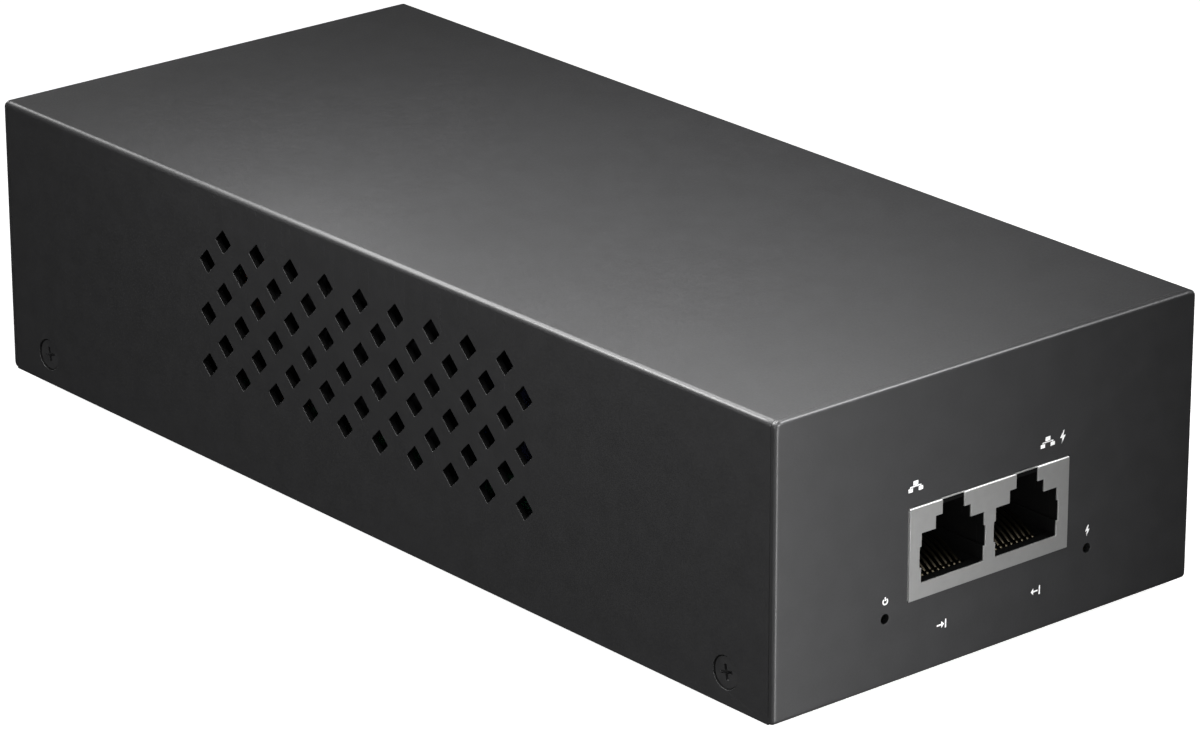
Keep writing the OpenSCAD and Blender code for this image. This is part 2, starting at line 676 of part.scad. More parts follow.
module earth_lug() color([0.8, 0.8, 0.8]) in_case() {
    translate([stud_at[0], stud_at[1], sheet]) difference() {
        union() {
            cylinder(d = 8, h = 0.8);
            block([-1.8, -6, 0], [1.8, 0, 0.8]);
            block([-1.8, -6.4, 0], [1.8, -4.6, 3.4]);
        }
        translate([0, 0, -1]) cylinder(d = 4.3, h = 4);
    }
}

module earth_nut() color([0.8, 0.8, 0.8]) in_case() {
    translate([stud_at[0], stud_at[1], sheet + 0.8]) difference() {
        cylinder(d = 7 / cos(30), h = 3.2, $fn = 6);
        translate([0, 0, -1]) cylinder(d = stud_d + 0.1, h = 6);
    }
}

module mains_header() color([0.92, 0.9, 0.84]) in_case() {
    translate([header_at[0], header_at[1], board_z]) {
        block([-5.2, -3.4, 0], [5.2, 3.4, 2.4]);
        block([-5.2, -3.4, 0], [5.2, -2.7, 9]);
    }
    leads(header_leads, board_z + 8.6, 1);
}

module mains_plug() color([0.92, 0.9, 0.84]) in_case() {
    low_z = board_z + 2.5;
    difference() {
        block([header_at[0] - 4.9, header_at[1] - 2.6, low_z], [header_at[0] + 4.9, header_at[1] + 2.8, low_z + 11]);
        for (at = header_leads) {
            rod(at, 1.2, low_z - 1, low_z + 7.5);
        }
    }
}

// ---- mains side of the supply ----

module fuse() color([0.1, 0.1, 0.1]) in_case() {
    translate([fuse_at[0], fuse_at[1], board_z]) block([-2, -4.3, 0.1], [2, 4.3, 8]);
    leads(fuse_leads, board_z + 1, 0.6);
}

// A round disc part that stands on edge on its two leads; face_u turns it to face along Y
module disc_part(places, at, d, t, face_u) {
    centre_z = board_z + 1 + d / 2;
    translate([at[0], at[1], centre_z])
        rotate(face_u ? [90, 0, 0] : [0, 90, 0]) translate([0, 0, -t / 2]) cylinder(d = d, h = t);
    leads(places, centre_z, 0.7);
}

module inrush_thermistor() color([0.13, 0.16, 0.14]) in_case()
    disc_part(thermistor_leads, thermistor_at, 12, 4.6, true);
module varistor() color([0.12, 0.3, 0.6]) in_case()
    disc_part(varistor_leads, varistor_at, 12, 4, true);
module y_capacitors() color([0.15, 0.35, 0.65]) in_case() {
    for (i = [0, 1]) disc_part([y_cap_leads[2 * i], y_cap_leads[2 * i + 1]], y_cap_at[i], 9, 4, false);
}

module x_capacitor() color([0.85, 0.75, 0.35]) in_case() {
    translate([x_cap_at[0], x_cap_at[1], board_z]) block([-9, -4.2, 0.1], [9, 4.2, 15]);
    leads(x_cap_leads, board_z + 1);
}

choke_core_r = [5.4, 9];
choke_core_z = [board_z + 4, board_z + 11];

// Flat section of the choke's ring, grown by g on every side
module choke_section(g) {
    translate([choke_core_r[0] - g, choke_core_z[0] - g])
        square([choke_core_r[1] - choke_core_r[0] + 2 * g, choke_core_z[1] - choke_core_z[0] + 2 * g]);
}

module choke_core() color([0.12, 0.3, 0.2]) in_case() {
    translate([choke_at[0], choke_at[1], 0]) rotate_extrude() choke_section(0);
}

module choke_windings() color([0.7, 0.38, 0.18]) in_case() {
    translate([choke_at[0], choke_at[1], 0]) {
        intersection() {
            rotate_extrude() difference() {
                choke_section(1.5);
                choke_section(0.1);
            }
            for (s = [0, 1]) mirror([s, 0, 0]) linear_extrude(board_z + 20)
                polygon([[2, 0], [7, 14], [14, 14], [14, -14], [7, -14]]);
        }
    }
    for (at = choke_leads) rod(at, lead_d, lead_end_z, choke_core_z[0] - 1);
}

module bridge_rectifier() color([0.06, 0.06, 0.06]) in_case() {
    translate([bridge_at[0], bridge_at[1], board_z]) block([-9, -1.9, 2.5], [9, 1.9, 16]);
    leads(bridge_leads, board_z + 3);
}

// An upright electrolytic capacitor with a crimped groove and a rubber end
module can_capacitor(at, d, h) {
    translate([at[0], at[1], board_z]) difference() {
        cylinder(d = d, h = h);
        translate([0, 0, 2]) rotate_extrude() translate([d / 2, 0]) circle(r = 0.6, $fn = 24);
        translate([0, 0, h - 0.4]) for (a = [0, 90]) rotate([0, 0, a]) translate([-d / 3, -0.2, 0]) cube([d / 1.5, 0.4, 1]);
    }
}

module bulk_capacitor() color([0.1, 0.12, 0.2]) in_case() {
    can_capacitor(bulk_cap_at, 18, 27);
    leads(bulk_cap_leads, board_z + 1);
}

// A folded heatsink plate with a row of fins on its outer side, standing on two pins
module heatsink(s, span) {
    fin_n = 4;
    pitch = (span[1] - span[0] - 2) / (fin_n - 1);
    mirror([s > 0 ? 0 : 1, 0, 0]) difference() {
        union() {
            block([heatsink_x, span[0], board_z + 1], [heatsink_x + 1.6, span[1], board_z + 27]);
            for (i = [0:fin_n - 1])
                block([heatsink_x, span[0] + i * pitch, board_z + 1], [heatsink_x + 4.6, span[0] + i * pitch + 2, board_z + 27]);
            for (u = [5, 37]) rod([heatsink_x + 1, span[0] + u], lead_d, lead_end_z, board_z + 2);
        }
    }
}

transistor_u = primary_leads[1][1];
rectifier_u = secondary_leads[1][1];
package_hole_z = board_z + 18;

// A flat power package standing on three leads, with its face against a heatsink
module power_package(s, u, places) {
    mirror([s > 0 ? 0 : 1, 0, 0]) difference() {
        union() {
            block([heatsink_x - 4.5, u - 5, board_z + 4.5], [heatsink_x - 0.05, u + 5, board_z + 14]);
            block([heatsink_x - 1.3, u - 5, board_z + 5], [heatsink_x - 0.05, u + 5, board_z + 20.5]);
        }
        translate([heatsink_x - 6, u, package_hole_z]) rotate([0, 90, 0]) cylinder(d = 3.6, h = 8);
    }
    leads(places, board_z + 5);
}

module primary_heatsink() color([0.72, 0.73, 0.74]) in_case() difference() {
    heatsink(-1, primary_sink_u);
    translate([-heatsink_x - 8, transistor_u, package_hole_z]) rotate([0, 90, 0]) cylinder(d = 2.6, h = 16);
}

module secondary_heatsink() color([0.72, 0.73, 0.74]) in_case() difference() {
    heatsink(1, secondary_sink_u);
    translate([heatsink_x - 8, rectifier_u, package_hole_z]) rotate([0, 90, 0]) cylinder(d = 2.6, h = 16);
}

module switching_transistor() color([0.06, 0.06, 0.06]) in_case() power_package(-1, transistor_u, primary_leads);
module output_rectifier() color([0.06, 0.06, 0.06]) in_case() power_package(1, rectifier_u, secondary_leads);

module heatsink_screws() color([0.75, 0.75, 0.76]) in_case() {
    for (p = [[-1, transistor_u], [1, rectifier_u]]) mirror([p[0] > 0 ? 0 : 1, 0, 0])
        translate([heatsink_x - 1.35, p[1], package_hole_z]) rotate([0, 90, 0]) difference() {
            union() {
                cylinder(d = 2.5, h = 6);
                translate([0, 0, -2]) cylinder(d = 5.2, h = 2);
            }
            translate([0, 0, -2]) mirror([0, 0, 1]) cross_recess(1.2);
        }
}

module supply_controller() color([0.07, 0.07, 0.08]) in_case() chip(pwm_at, [3.9, 4.9, 1.5], 4, 1.27, 0.42);
module optocoupler() color([0.07, 0.07, 0.08]) in_case() chip(opto_at, [6.4, 4.6, 3.4], 2, 2.54, 0.6);

// ---- transformer ----

core_size = [28, 14, 25];
core_foot_z = board_z + 2.5;
core_plate = 4;
core_leg = 2.8;
core_post_d = 10;
winding_z = [core_foot_z + core_plate + 1.2, core_foot_z + core_size[2] - core_plate - 1.2];

module transformer_core() color([0.16, 0.16, 0.17]) in_case() {
    x = core_size[0] / 2;
    translate([transformer_at[0], transformer_at[1], core_foot_z]) {
        difference() {
            block([-x, -core_size[1] / 2, 0], [x, core_size[1] / 2, core_size[2]]);
            block([-x + core_leg, -10, core_plate], [x - core_leg, 10, core_size[2] - core_plate]);
        }
        translate([0, 0, core_plate - eps]) cylinder(d = core_post_d, h = core_size[2] - 2 * core_plate + 2 * eps);
    }
}

module transformer_bobbin() color([0.08, 0.08, 0.08]) in_case() {
    low_z = core_foot_z + core_plate + 0.1;
    high_z = core_foot_z + core_size[2] - core_plate - 0.1;
    bore_d = core_post_d + 0.2;
    translate([transformer_at[0], transformer_at[1], 0]) {
        difference() {
            union() {
                translate([0, 0, low_z]) cylinder(d = 12, h = high_z - low_z);
                translate([0, 0, low_z]) cylinder(d = 22, h = 1);
                translate([0, 0, high_z - 1]) cylinder(d = 22, h = 1);
            }
            translate([0, 0, low_z - 1]) cylinder(d = bore_d, h = 40);
        }
        for (s = [-1, 1]) {
            block([-13, s * 11.2 - 2.2, board_z + 0.3], [13, s * 11.2 + 2.2, board_z + 4.5]);
            block([-4, s * 10.1 - 0.9, board_z + 1], [4, s * 10.1 + 0.9, low_z + 1]);
        }
    }
    leads(transformer_leads, board_z + 2, lead_d);
}

module transformer_winding() color([0.85, 0.72, 0.15]) in_case() {
    translate([transformer_at[0], transformer_at[1], winding_z[0]]) difference() {
        cylinder(d = 21.4, h = winding_z[1] - winding_z[0]);
        translate([0, 0, -1]) cylinder(d = 12.1, h = 30);
    }
}

// ---- low-voltage side of the supply ----

module output_capacitors() color([0.1, 0.12, 0.2]) in_case() {
    for (at = output_cap_at) can_capacitor(at, 10, 20);
    leads(output_cap_leads, board_z + 1, 0.6);
}

module output_inductor() color([0.7, 0.38, 0.18]) in_case() {
    translate([inductor_at[0], inductor_at[1], board_z + 0.6]) difference() {
        cylinder(d = 18, h = 9);
        translate([0, 0, -1]) cylinder(d = 7, h = 12);
    }
    leads(inductor_leads, board_z + 2);
}

base_chassis();
top_cover();
cover_screws();
foot_front_left();
foot_front_right();
foot_rear_left();
foot_rear_right();
insulation_sheet();
board_standoffs();
board_screws();
main_board();
jack_shield();
jack_housing();
contact_tails_in();
contact_arms_in();
contact_tails_out();
contact_arms_out();
power_light();
output_light();
power_light_leads();
output_light_leads();
data_transformer_in();
data_transformer_out();
port_controller();
inlet_housing();
line_pin();
neutral_pin();
earth_pin();
inlet_screws();
inlet_nuts();
terminal_sleeves();
line_wire();
neutral_wire();
earth_wire();
earth_lug();
earth_nut();
mains_header();
mains_plug();
fuse();
inrush_thermistor();
varistor();
x_capacitor();
y_capacitors();
choke_core();
choke_windings();
bridge_rectifier();
bulk_capacitor();
primary_heatsink();
switching_transistor();
heatsink_screws();
supply_controller();
transformer_core();
transformer_bobbin();
transformer_winding();
secondary_heatsink();
output_rectifier();
output_capacitors();
output_inductor();
optocoupler();
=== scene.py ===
import math
import bmesh
import bpy
from mathutils import Matrix, Vector


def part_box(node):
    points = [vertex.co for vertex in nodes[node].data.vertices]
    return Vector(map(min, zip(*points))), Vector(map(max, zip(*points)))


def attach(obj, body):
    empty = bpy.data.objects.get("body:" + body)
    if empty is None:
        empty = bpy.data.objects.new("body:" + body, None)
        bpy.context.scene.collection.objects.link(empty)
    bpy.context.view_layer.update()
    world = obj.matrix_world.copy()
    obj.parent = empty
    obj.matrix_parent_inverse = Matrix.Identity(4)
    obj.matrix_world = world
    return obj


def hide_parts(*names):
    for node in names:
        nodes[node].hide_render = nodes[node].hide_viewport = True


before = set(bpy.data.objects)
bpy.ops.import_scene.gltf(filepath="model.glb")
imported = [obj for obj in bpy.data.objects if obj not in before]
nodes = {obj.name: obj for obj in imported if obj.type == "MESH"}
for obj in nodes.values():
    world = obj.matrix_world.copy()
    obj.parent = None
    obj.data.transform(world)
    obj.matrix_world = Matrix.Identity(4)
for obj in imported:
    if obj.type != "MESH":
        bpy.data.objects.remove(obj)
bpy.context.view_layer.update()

# A power-over-Ethernet injector: the visual model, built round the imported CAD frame.

MM = 0.001
ROOT = "injector"

# ---- places from the frame

chassis_low, chassis_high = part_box("base_chassis")
front_y = chassis_low.y
rear_y = chassis_high.y
case_z = chassis_low.z
case_w = chassis_high.x - chassis_low.x
case_l = rear_y - front_y
case_h = chassis_high.z - case_z


def place(x, u, z):
    """Millimetres from the middle, back from the front face and up from the case bottom, as a point."""
    return Vector((x * MM, front_y + u * MM, case_z + z * MM))


# ---- materials


def tree(name):
    """An empty node material and its Principled shader."""
    mat = bpy.data.materials.new(name)
    mat.use_nodes = True
    return mat, mat.node_tree.nodes["Principled BSDF"]


def add(mat, kind, **inputs):
    """A shader node with its inputs set by name; a node output as a value makes a link."""
    node = mat.node_tree.nodes.new(kind)
    for key, value in inputs.items():
        socket = node.inputs[key.replace("_", " ")]
        if isinstance(value, bpy.types.NodeSocket):
            mat.node_tree.links.new(value, socket)
        else:
            socket.default_value = value
    return node


def link(mat, output, node, key):
    mat.node_tree.links.new(output, node.inputs[key])


def noise(mat, size, detail=2.0, stretch=(1, 1, 1)):
    """Noise whose features are about size millimetres across, in object space."""
    coord = add(mat, "ShaderNodeTexCoord")
    mapping = add(mat, "ShaderNodeMapping", Vector=coord.outputs["Object"])
    mapping.inputs["Scale"].default_value = stretch
    return add(mat, "ShaderNodeTexNoise", Vector=mapping.outputs["Vector"],
               Scale=1 / (size * MM), Detail=detail)


def spread(mat, value, low, high):
    """Maps a 0 to 1 value onto low to high."""
    node = add(mat, "ShaderNodeMapRange", Value=value, To_Min=low, To_Max=high)
    node.inputs["From Min"].default_value = 0.3
    node.inputs["From Max"].default_value = 0.7
    return node.outputs["Result"]


def tint(mat, value, dark, light):
    """Mixes two colours by a 0 to 1 value."""
    ramp = add(mat, "ShaderNodeValToRGB", Fac=value)
    ramp.color_ramp.elements[0].position = 0.35
    ramp.color_ramp.elements[1].position = 0.65
    ramp.color_ramp.elements[0].color = (*dark, 1)
    ramp.color_ramp.elements[1].color = (*light, 1)
    return ramp.outputs["Color"]


def shade(colour, k):
    return tuple(min(1, c * k) for c in colour)


def surface(name, colour, rough, metal=0.0, grain=0.3, bump=0.1, vary=0.12, stretch=(1, 1, 1), **extra):
    """The common recipe: fine grain in bump and roughness, and a slower drift in colour."""
    mat, bsdf = tree(name)
    fine = noise(mat, grain, 3.0, stretch)
    slow = noise(mat, grain * 14, 2.0)
    drift = tint(mat, slow.outputs["Fac"], shade(colour, 1 - vary), shade(colour, 1 + vary))
    link(mat, drift, bsdf, "Base Color")
    link(mat, spread(mat, fine.outputs["Fac"], rough - 0.06, rough + 0.06), bsdf, "Roughness")
    relief = add(mat, "ShaderNodeBump", Height=fine.outputs["Fac"], Strength=bump, Distance=grain * 0.2 * MM)
    link(mat, relief.outputs["Normal"], bsdf, "Normal")
    bsdf.inputs["Metallic"].default_value = metal
    for key, value in extra.items():
        bsdf.inputs[key.replace("_", " ")].default_value = value
    return mat


powder_coat = surface("powder_coat", (0.030, 0.030, 0.031), 0.46, grain=0.28, bump=0.22, vary=0.06,
                      Coat_Weight=0.2, Coat_Roughness=0.22)
# A lighter, metallic finish for the panels' upper edge rounds: a painted highlight
edge_painted_highlight = surface("edge_painted_highlight", (0.10, 0.10, 0.102), 0.36, metal=0.6, grain=0.28, bump=0.1, vary=0.04)
# Near-black and barely reflective, for the inside of the case and the walls of its holes: painted shade
case_inside_painted_shade = surface("case_inside_painted_shade", (0.005, 0.005, 0.005), 0.7, grain=0.28, bump=0.2, vary=0.06,
                      Specular_IOR_Level=0.1)
screw_black = surface("screw_black", (0.048, 0.048, 0.049), 0.40, metal=0.2, grain=0.12, bump=0.2)
nickel = surface("nickel", (0.52, 0.52, 0.515), 0.40, metal=0.72, grain=0.08, bump=0.08, vary=0.02,
                 stretch=(0.2, 1, 1))
# Black plastic darkened further to stand in for the shade inside the jack: partly painted shade
jack_black_painted_shade = surface("jack_black_painted_shade", (0.0015, 0.0015, 0.0015), 0.75, grain=0.1, bump=0.15,
                     Specular_IOR_Level=0.08)
# Gold plating darkened far below its own colour to stand in for the shade inside the jack: painted shade
gold = surface("gold", (0.05, 0.043, 0.030), 0.34, metal=1.0, grain=0.05, bump=0.05)
rubber = surface("rubber", (0.020, 0.020, 0.020), 0.8, grain=0.18, bump=0.4)
ink = surface("white_ink", (0.95, 0.95, 0.95), 0.55, grain=0.05, bump=0.1, vary=0.03)
zinc = surface("zinc", (0.66, 0.67, 0.70), 0.3, metal=1.0, grain=0.1, bump=0.1)
brass = surface("brass", (0.72, 0.55, 0.26), 0.28, metal=1.0, grain=0.1, bump=0.1, stretch=(1, 1, 0.2))
solder_mask = surface("solder_mask", (0.012, 0.085, 0.035), 0.32, grain=0.4, bump=0.1, vary=0.25)
epoxy = surface("epoxy", (0.022, 0.022, 0.024), 0.6, grain=0.07, bump=0.35)
inlet_black = surface("inlet_black", (0.016, 0.016, 0.017), 0.4, grain=0.15, bump=0.3)
blade = surface("blade", (0.68, 0.66, 0.61), 0.25, metal=1.0, grain=0.1, bump=0.08, stretch=(1, 0.2, 1))
aluminium = surface("aluminium", (0.68, 0.69, 0.71), 0.35, metal=1.0, grain=0.12, bump=0.15,
                    stretch=(1, 0.15, 1))
anodised = surface("anodised", (0.012, 0.012, 0.014), 0.45, grain=0.12, bump=0.15, stretch=(1, 0.15, 1))
sleeve_red = surface("sleeve_red", (0.42, 0.025, 0.018), 0.45, grain=0.2, bump=0.15)
brown_wire = surface("brown_wire", (0.10, 0.035, 0.014), 0.4, grain=0.2, bump=0.15)
blue_wire = surface("blue_wire", (0.012, 0.06, 0.30), 0.4, grain=0.2, bump=0.15)
green_wire = surface("green_wire", (0.10, 0.30, 0.02), 0.4, grain=0.2, bump=0.15)
nylon = surface("nylon", (0.74, 0.71, 0.60), 0.42, grain=0.2, bump=0.12, vary=0.05, Subsurface_Weight=0.2)
thermistor_coat = surface("thermistor_coat", (0.028, 0.032, 0.028), 0.5, grain=0.3, bump=0.4)
disc_blue = surface("disc_blue", (0.018, 0.09, 0.34), 0.28, grain=0.5, bump=0.3)
film_yellow = surface("film_yellow", (0.66, 0.44, 0.06), 0.4, grain=0.2, bump=0.15)
ferrite_green = surface("ferrite_green", (0.012, 0.075, 0.035), 0.35, grain=0.3, bump=0.3)
copper = surface("copper", (0.62, 0.21, 0.07), 0.3, metal=0.9, grain=0.3, bump=0.2)
can_sleeve = surface("can_sleeve", (0.010, 0.012, 0.030), 0.3, grain=0.4, bump=0.1)
ferrite = surface("ferrite", (0.03, 0.03, 0.034), 0.62, grain=0.2, bump=0.5)
tape = surface("tape", (0.72, 0.46, 0.03), 0.3, grain=0.5, bump=0.2)
fish_paper = surface("fish_paper", (0.55, 0.50, 0.38), 0.7, grain=0.3, bump=0.3)
# Both lenses keep a faint tint but are darkened almost to black to stand in for the shade in the light holes:
# painted shade
lens_green = surface("lens_green", (0.002, 0.005, 0.002), 0.3, grain=0.2, bump=0.05, Specular_IOR_Level=0.1)
lens_amber = surface("lens_amber", (0.005, 0.003, 0.002), 0.3, grain=0.2, bump=0.05, Specular_IOR_Level=0.1)

FINISH = {
    "base_chassis": powder_coat, "top_cover": powder_coat, "cover_screws": screw_black,
    "foot_front_left": rubber, "foot_front_right": rubber, "foot_rear_left": rubber,
    "foot_rear_right": rubber, "insulation_sheet": fish_paper, "board_standoffs": brass,
    "board_screws": zinc, "main_board": solder_mask, "jack_shield": nickel, "jack_housing": jack_black_painted_shade,
    "contact_tails_in": gold, "contact_arms_in": gold, "contact_tails_out": gold,
    "contact_arms_out": gold, "power_light": lens_green, "output_light": lens_amber,
    "power_light_leads": zinc, "output_light_leads": zinc, "data_transformer_in": epoxy,
    "data_transformer_out": epoxy, "port_controller": epoxy, "inlet_housing": inlet_black,
    "line_pin": blade, "neutral_pin": blade, "earth_pin": blade, "inlet_screws": screw_black,
    "inlet_nuts": zinc, "terminal_sleeves": sleeve_red, "line_wire": brown_wire,
    "neutral_wire": blue_wire, "earth_wire": green_wire, "earth_lug": blade, "earth_nut": zinc,
    "mains_header": nylon, "mains_plug": nylon, "fuse": jack_black_painted_shade, "inrush_thermistor": thermistor_coat,
    "varistor": disc_blue, "x_capacitor": film_yellow, "y_capacitors": disc_blue,
    "choke_core": ferrite_green, "choke_windings": copper, "bridge_rectifier": epoxy,
    "bulk_capacitor": can_sleeve, "primary_heatsink": anodised, "switching_transistor": epoxy,
    "heatsink_screws": zinc, "supply_controller": epoxy, "transformer_core": ferrite,
    "transformer_bobbin": jack_black_painted_shade, "transformer_winding": tape, "secondary_heatsink": anodised,
    "output_rectifier": epoxy, "output_capacitors": can_sleeve, "output_inductor": copper,
    "optocoupler": epoxy,
}


def dress(obj, mat):
    obj.data.materials.clear()
    obj.data.materials.append(mat)


for name, mat in FINISH.items():
    dress(nodes[name], mat)

# ---- mesh building, in millimetres


def rect(x, y, w, h):
    """Corner points of a rectangle about its centre."""
    return [(x - w / 2, y - h / 2), (x + w / 2, y - h / 2), (x + w / 2, y + h / 2), (x - w / 2, y + h / 2)]


def circle(x, y, r, n=32):
    return [(x + r * math.cos(math.tau * i / n), y + r * math.sin(math.tau * i / n)) for i in range(n)]


def rounded(points, r, n=4):
    """The same outline with each corner rounded to about r."""
    loop = []
    for i, corner in enumerate(points):
        corner = Vector(corner)
        before = Vector(points[i - 1]) - corner
        after = Vector(points[(i + 1) % len(points)]) - corner
        turn = before.angle(after)
        reach = min(r / math.tan(turn / 2), before.length * 0.49, after.length * 0.49)
        start = corner + before.normalized() * reach
        end = corner + after.normalized() * reach
        for k in range(n + 1):
            t = k / n
            loop.append(tuple((1 - t) ** 2 * start + 2 * t * (1 - t) * corner + t * t * end))
    return loop


def band(centre, width):
    """Outline of a strip of even width along a line of points."""
    left, right = [], []
    for i, point in enumerate(centre):
        along = Vector(centre[min(i + 1, len(centre) - 1)]) - Vector(centre[max(i - 1, 0)])
        across = Vector((-along.y, along.x)).normalized() * width / 2
        left.append(tuple(Vector(point) + across))
        right.append(tuple(Vector(point) - across))
    return left + right[::-1]


def plate(outline, holes=(), thickness=1.0, bevel=0.1, steps=2):
    """A flat plate with softened edges: outer face at z = 0, inner face at z = -thickness."""
    curve = bpy.data.curves.new("plate", "CURVE")
    curve.dimensions = "2D"
    curve.fill_mode = "BOTH"
    curve.extrude = thickness / 2 - bevel
    curve.bevel_depth = bevel
    curve.bevel_resolution = steps
    curve.offset = -bevel
    middle_x = (min(x for x, _ in outline) + max(x for x, _ in outline)) / 2
    middle_y = (min(y for _, y in outline) + max(y for _, y in outline)) / 2
    for loop in [outline, *holes]:
        spline = curve.splines.new("POLY")
        spline.points.add(len(loop) - 1)
        for point, (x, y) in zip(spline.points, loop):
            point.co = (x - middle_x, y - middle_y, 0, 1)
        spline.use_cyclic_u = True
    obj = bpy.data.objects.new("plate", curve)
    bpy.context.scene.collection.objects.link(obj)
    mesh = bpy.data.meshes.new_from_object(obj.evaluated_get(bpy.context.evaluated_depsgraph_get()))
    bm = bmesh.new()
    bm.from_mesh(mesh)
    bmesh.ops.remove_doubles(bm, verts=bm.verts, dist=1e-5)
    bmesh.ops.translate(bm, verts=bm.verts, vec=(middle_x, middle_y, -thickness / 2))
    bpy.data.objects.remove(obj)
    bpy.data.curves.remove(curve)
    bpy.data.meshes.remove(mesh)
    return bm


def cut(bm, axis, values):
    """Adds edges across the mesh where it is going to bend."""
    normal = Vector((axis == 0, axis == 1, axis == 2))
    for value in values:
        parts = bm.verts[:] + bm.edges[:] + bm.faces[:]
        bmesh.ops.bisect_plane(bm, geom=parts, dist=1e-5, plane_co=normal * value, plane_no=normal)


def warp(bm, rule):
    for vert in bm.verts:
        vert.co = rule(vert.co)
    return bm


def lathe(profile, n=48, ring=False):
    """A solid of revolution about Z from [radius, height] points: from axis to axis, or a closed ring."""
    bm = bmesh.new()
    rings = []
    for r, z in profile:
        if r < 1e-6:
            rings.append([bm.verts.new((0, 0, z))])
        else:
            rings.append([bm.verts.new((r * math.cos(math.tau * i / n), r * math.sin(math.tau * i / n), z))
                          for i in range(n)])
    for low, high in zip(rings, rings[1:] + rings[:1] if ring else rings[1:]):
        for i in range(n):
            j = (i + 1) % n
            corners = [low[i % len(low)], low[j % len(low)], high[j % len(high)], high[i % len(high)]]
            bm.faces.new(list(dict.fromkeys(corners)))
    return bm


def joined(parts):
    """One mesh from several; the parts are freed."""
    whole = bmesh.new()
    for part in parts:
        mesh = bpy.data.meshes.new("part")
        part.to_mesh(mesh)
        part.free()
        whole.from_mesh(mesh)
        bpy.data.meshes.remove(mesh)
    return whole


def finish_mesh(obj):
    """Smooth shading that keeps large faces flat."""
    for face in obj.data.polygons:
        face.use_smooth = True
    obj.modifiers.new("even_normals", "WEIGHTED_NORMAL").keep_sharp = True


SHARP = math.radians(38)


def make(name, parts, mat, stands_for=(), body=ROOT):
    """An object from meshes in case millimetres [x, back from the front, up], riding on a body."""
    bm = joined(parts)
    bmesh.ops.recalc_face_normals(bm, faces=bm.faces)
    warp(bm, lambda co: place(*co))
    for edge in bm.edges:
        edge.smooth = len(edge.link_faces) == 2 and edge.calc_face_angle() < SHARP
    mesh = bpy.data.meshes.new(name)
    bm.to_mesh(mesh)
    bm.free()
    obj = bpy.data.objects.new(name, mesh)
    bpy.context.scene.collection.objects.link(obj)
    dress(obj, mat)
    finish_mesh(obj)
    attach(obj, body)
    if stands_for:
        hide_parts(*stands_for)
    return obj


def temp_object(bm):
    bmesh.ops.recalc_face_normals(bm, faces=bm.faces)
    mesh = bpy.data.meshes.new("temp")
    bm.to_mesh(mesh)
    bm.free()
    obj = bpy.data.objects.new("temp", mesh)
    bpy.context.scene.collection.objects.link(obj)
    return obj


def combine(bm, other_bm, operation):
    """The boolean of two closed meshes."""
    obj, other = temp_object(bm), temp_object(other_bm)
    modifier = obj.modifiers.new("combine", "BOOLEAN")
    modifier.object = other
    modifier.operation = operation
    modifier.solver = "EXACT"
    mesh = bpy.data.meshes.new_from_object(obj.evaluated_get(bpy.context.evaluated_depsgraph_get()))
    result = bmesh.new()
    result.from_mesh(mesh)
    for item in (obj, other):
        data = item.data
        bpy.data.objects.remove(item)
        bpy.data.meshes.remove(data)
    bpy.data.meshes.remove(mesh)
    bmesh.ops.remove_doubles(result, verts=result.verts, dist=1e-4)
    bmesh.ops.dissolve_degenerate(result, edges=result.edges, dist=1e-4)
    return result


def carve(bm, cutter_bm):
    return combine(bm, cutter_bm, "DIFFERENCE")


# ---- case

WIDTH, LENGTH, HEIGHT = case_w / MM, case_l / MM, case_h / MM
SHEET = 1.0
BEND = 0.9
ARC = BEND * math.pi / 2
SEAM = 0.05
EDGE = 0.5
BEND_CUTS = [ARC * i / 6 for i in range(7)]
# The flat chassis: a panel's length up to its bend, the whole strip, and where it narrows
PANEL = HEIGHT - BEND
STRIP = 2 * PANEL + 2 * ARC + LENGTH - 2 * BEND
STEP = PANEL + ARC + SHEET + SEAM - BEND
HALF = WIDTH / 2
INNER = HALF - SHEET - SEAM

VENT_SIDE = 3.85 / math.sqrt(2)
VENT_PITCH = 8.22
VENT_ROW = 4.12
VENT_LOW = 15.5
SCREW_U = 9.8
SCREW_AT = [(side, u) for side in (-1, 1) for u in (SCREW_U, LENGTH - SCREW_U)]
SCREW_Z = 4.8
SINK_R = 2.5
SINK_CONE = [(SINK_R + 0.15, -0.1), (SINK_R - 0.02, -0.08), (1.55, -0.99), (SINK_R + 0.15, -0.99)]
LIGHT_X, LIGHT_Z, LIGHT_HOLE_R = 19.3, 10.2, 0.75
STANDOFF_X, STANDOFF_U, STANDOFF_SEAT_R = 31, (11, 141), 2.15
KEYHOLE_OFFSET = 50
FOOT_X, FOOT_INSET = 31, 14
SHIELD_W, SHIELD_H, SHIELD_Z, SHIELD_PROUD = 30.2, 13.7, 11.55, 0.25
INLET_Z = HEIGHT / 2


def diamond(x, y):
    h = VENT_SIDE / math.sqrt(2)
    return rounded([(x, y - h), (x + h, y), (x, y + h), (x - h, y)], 0.2, 2)


def bend_at(depth):
    """A bend's radius, and its centre's distance from both outer faces, at a depth into the sheet."""
    radius = BEND + (0.05 - BEND) * depth / SHEET
    return radius, radius + depth


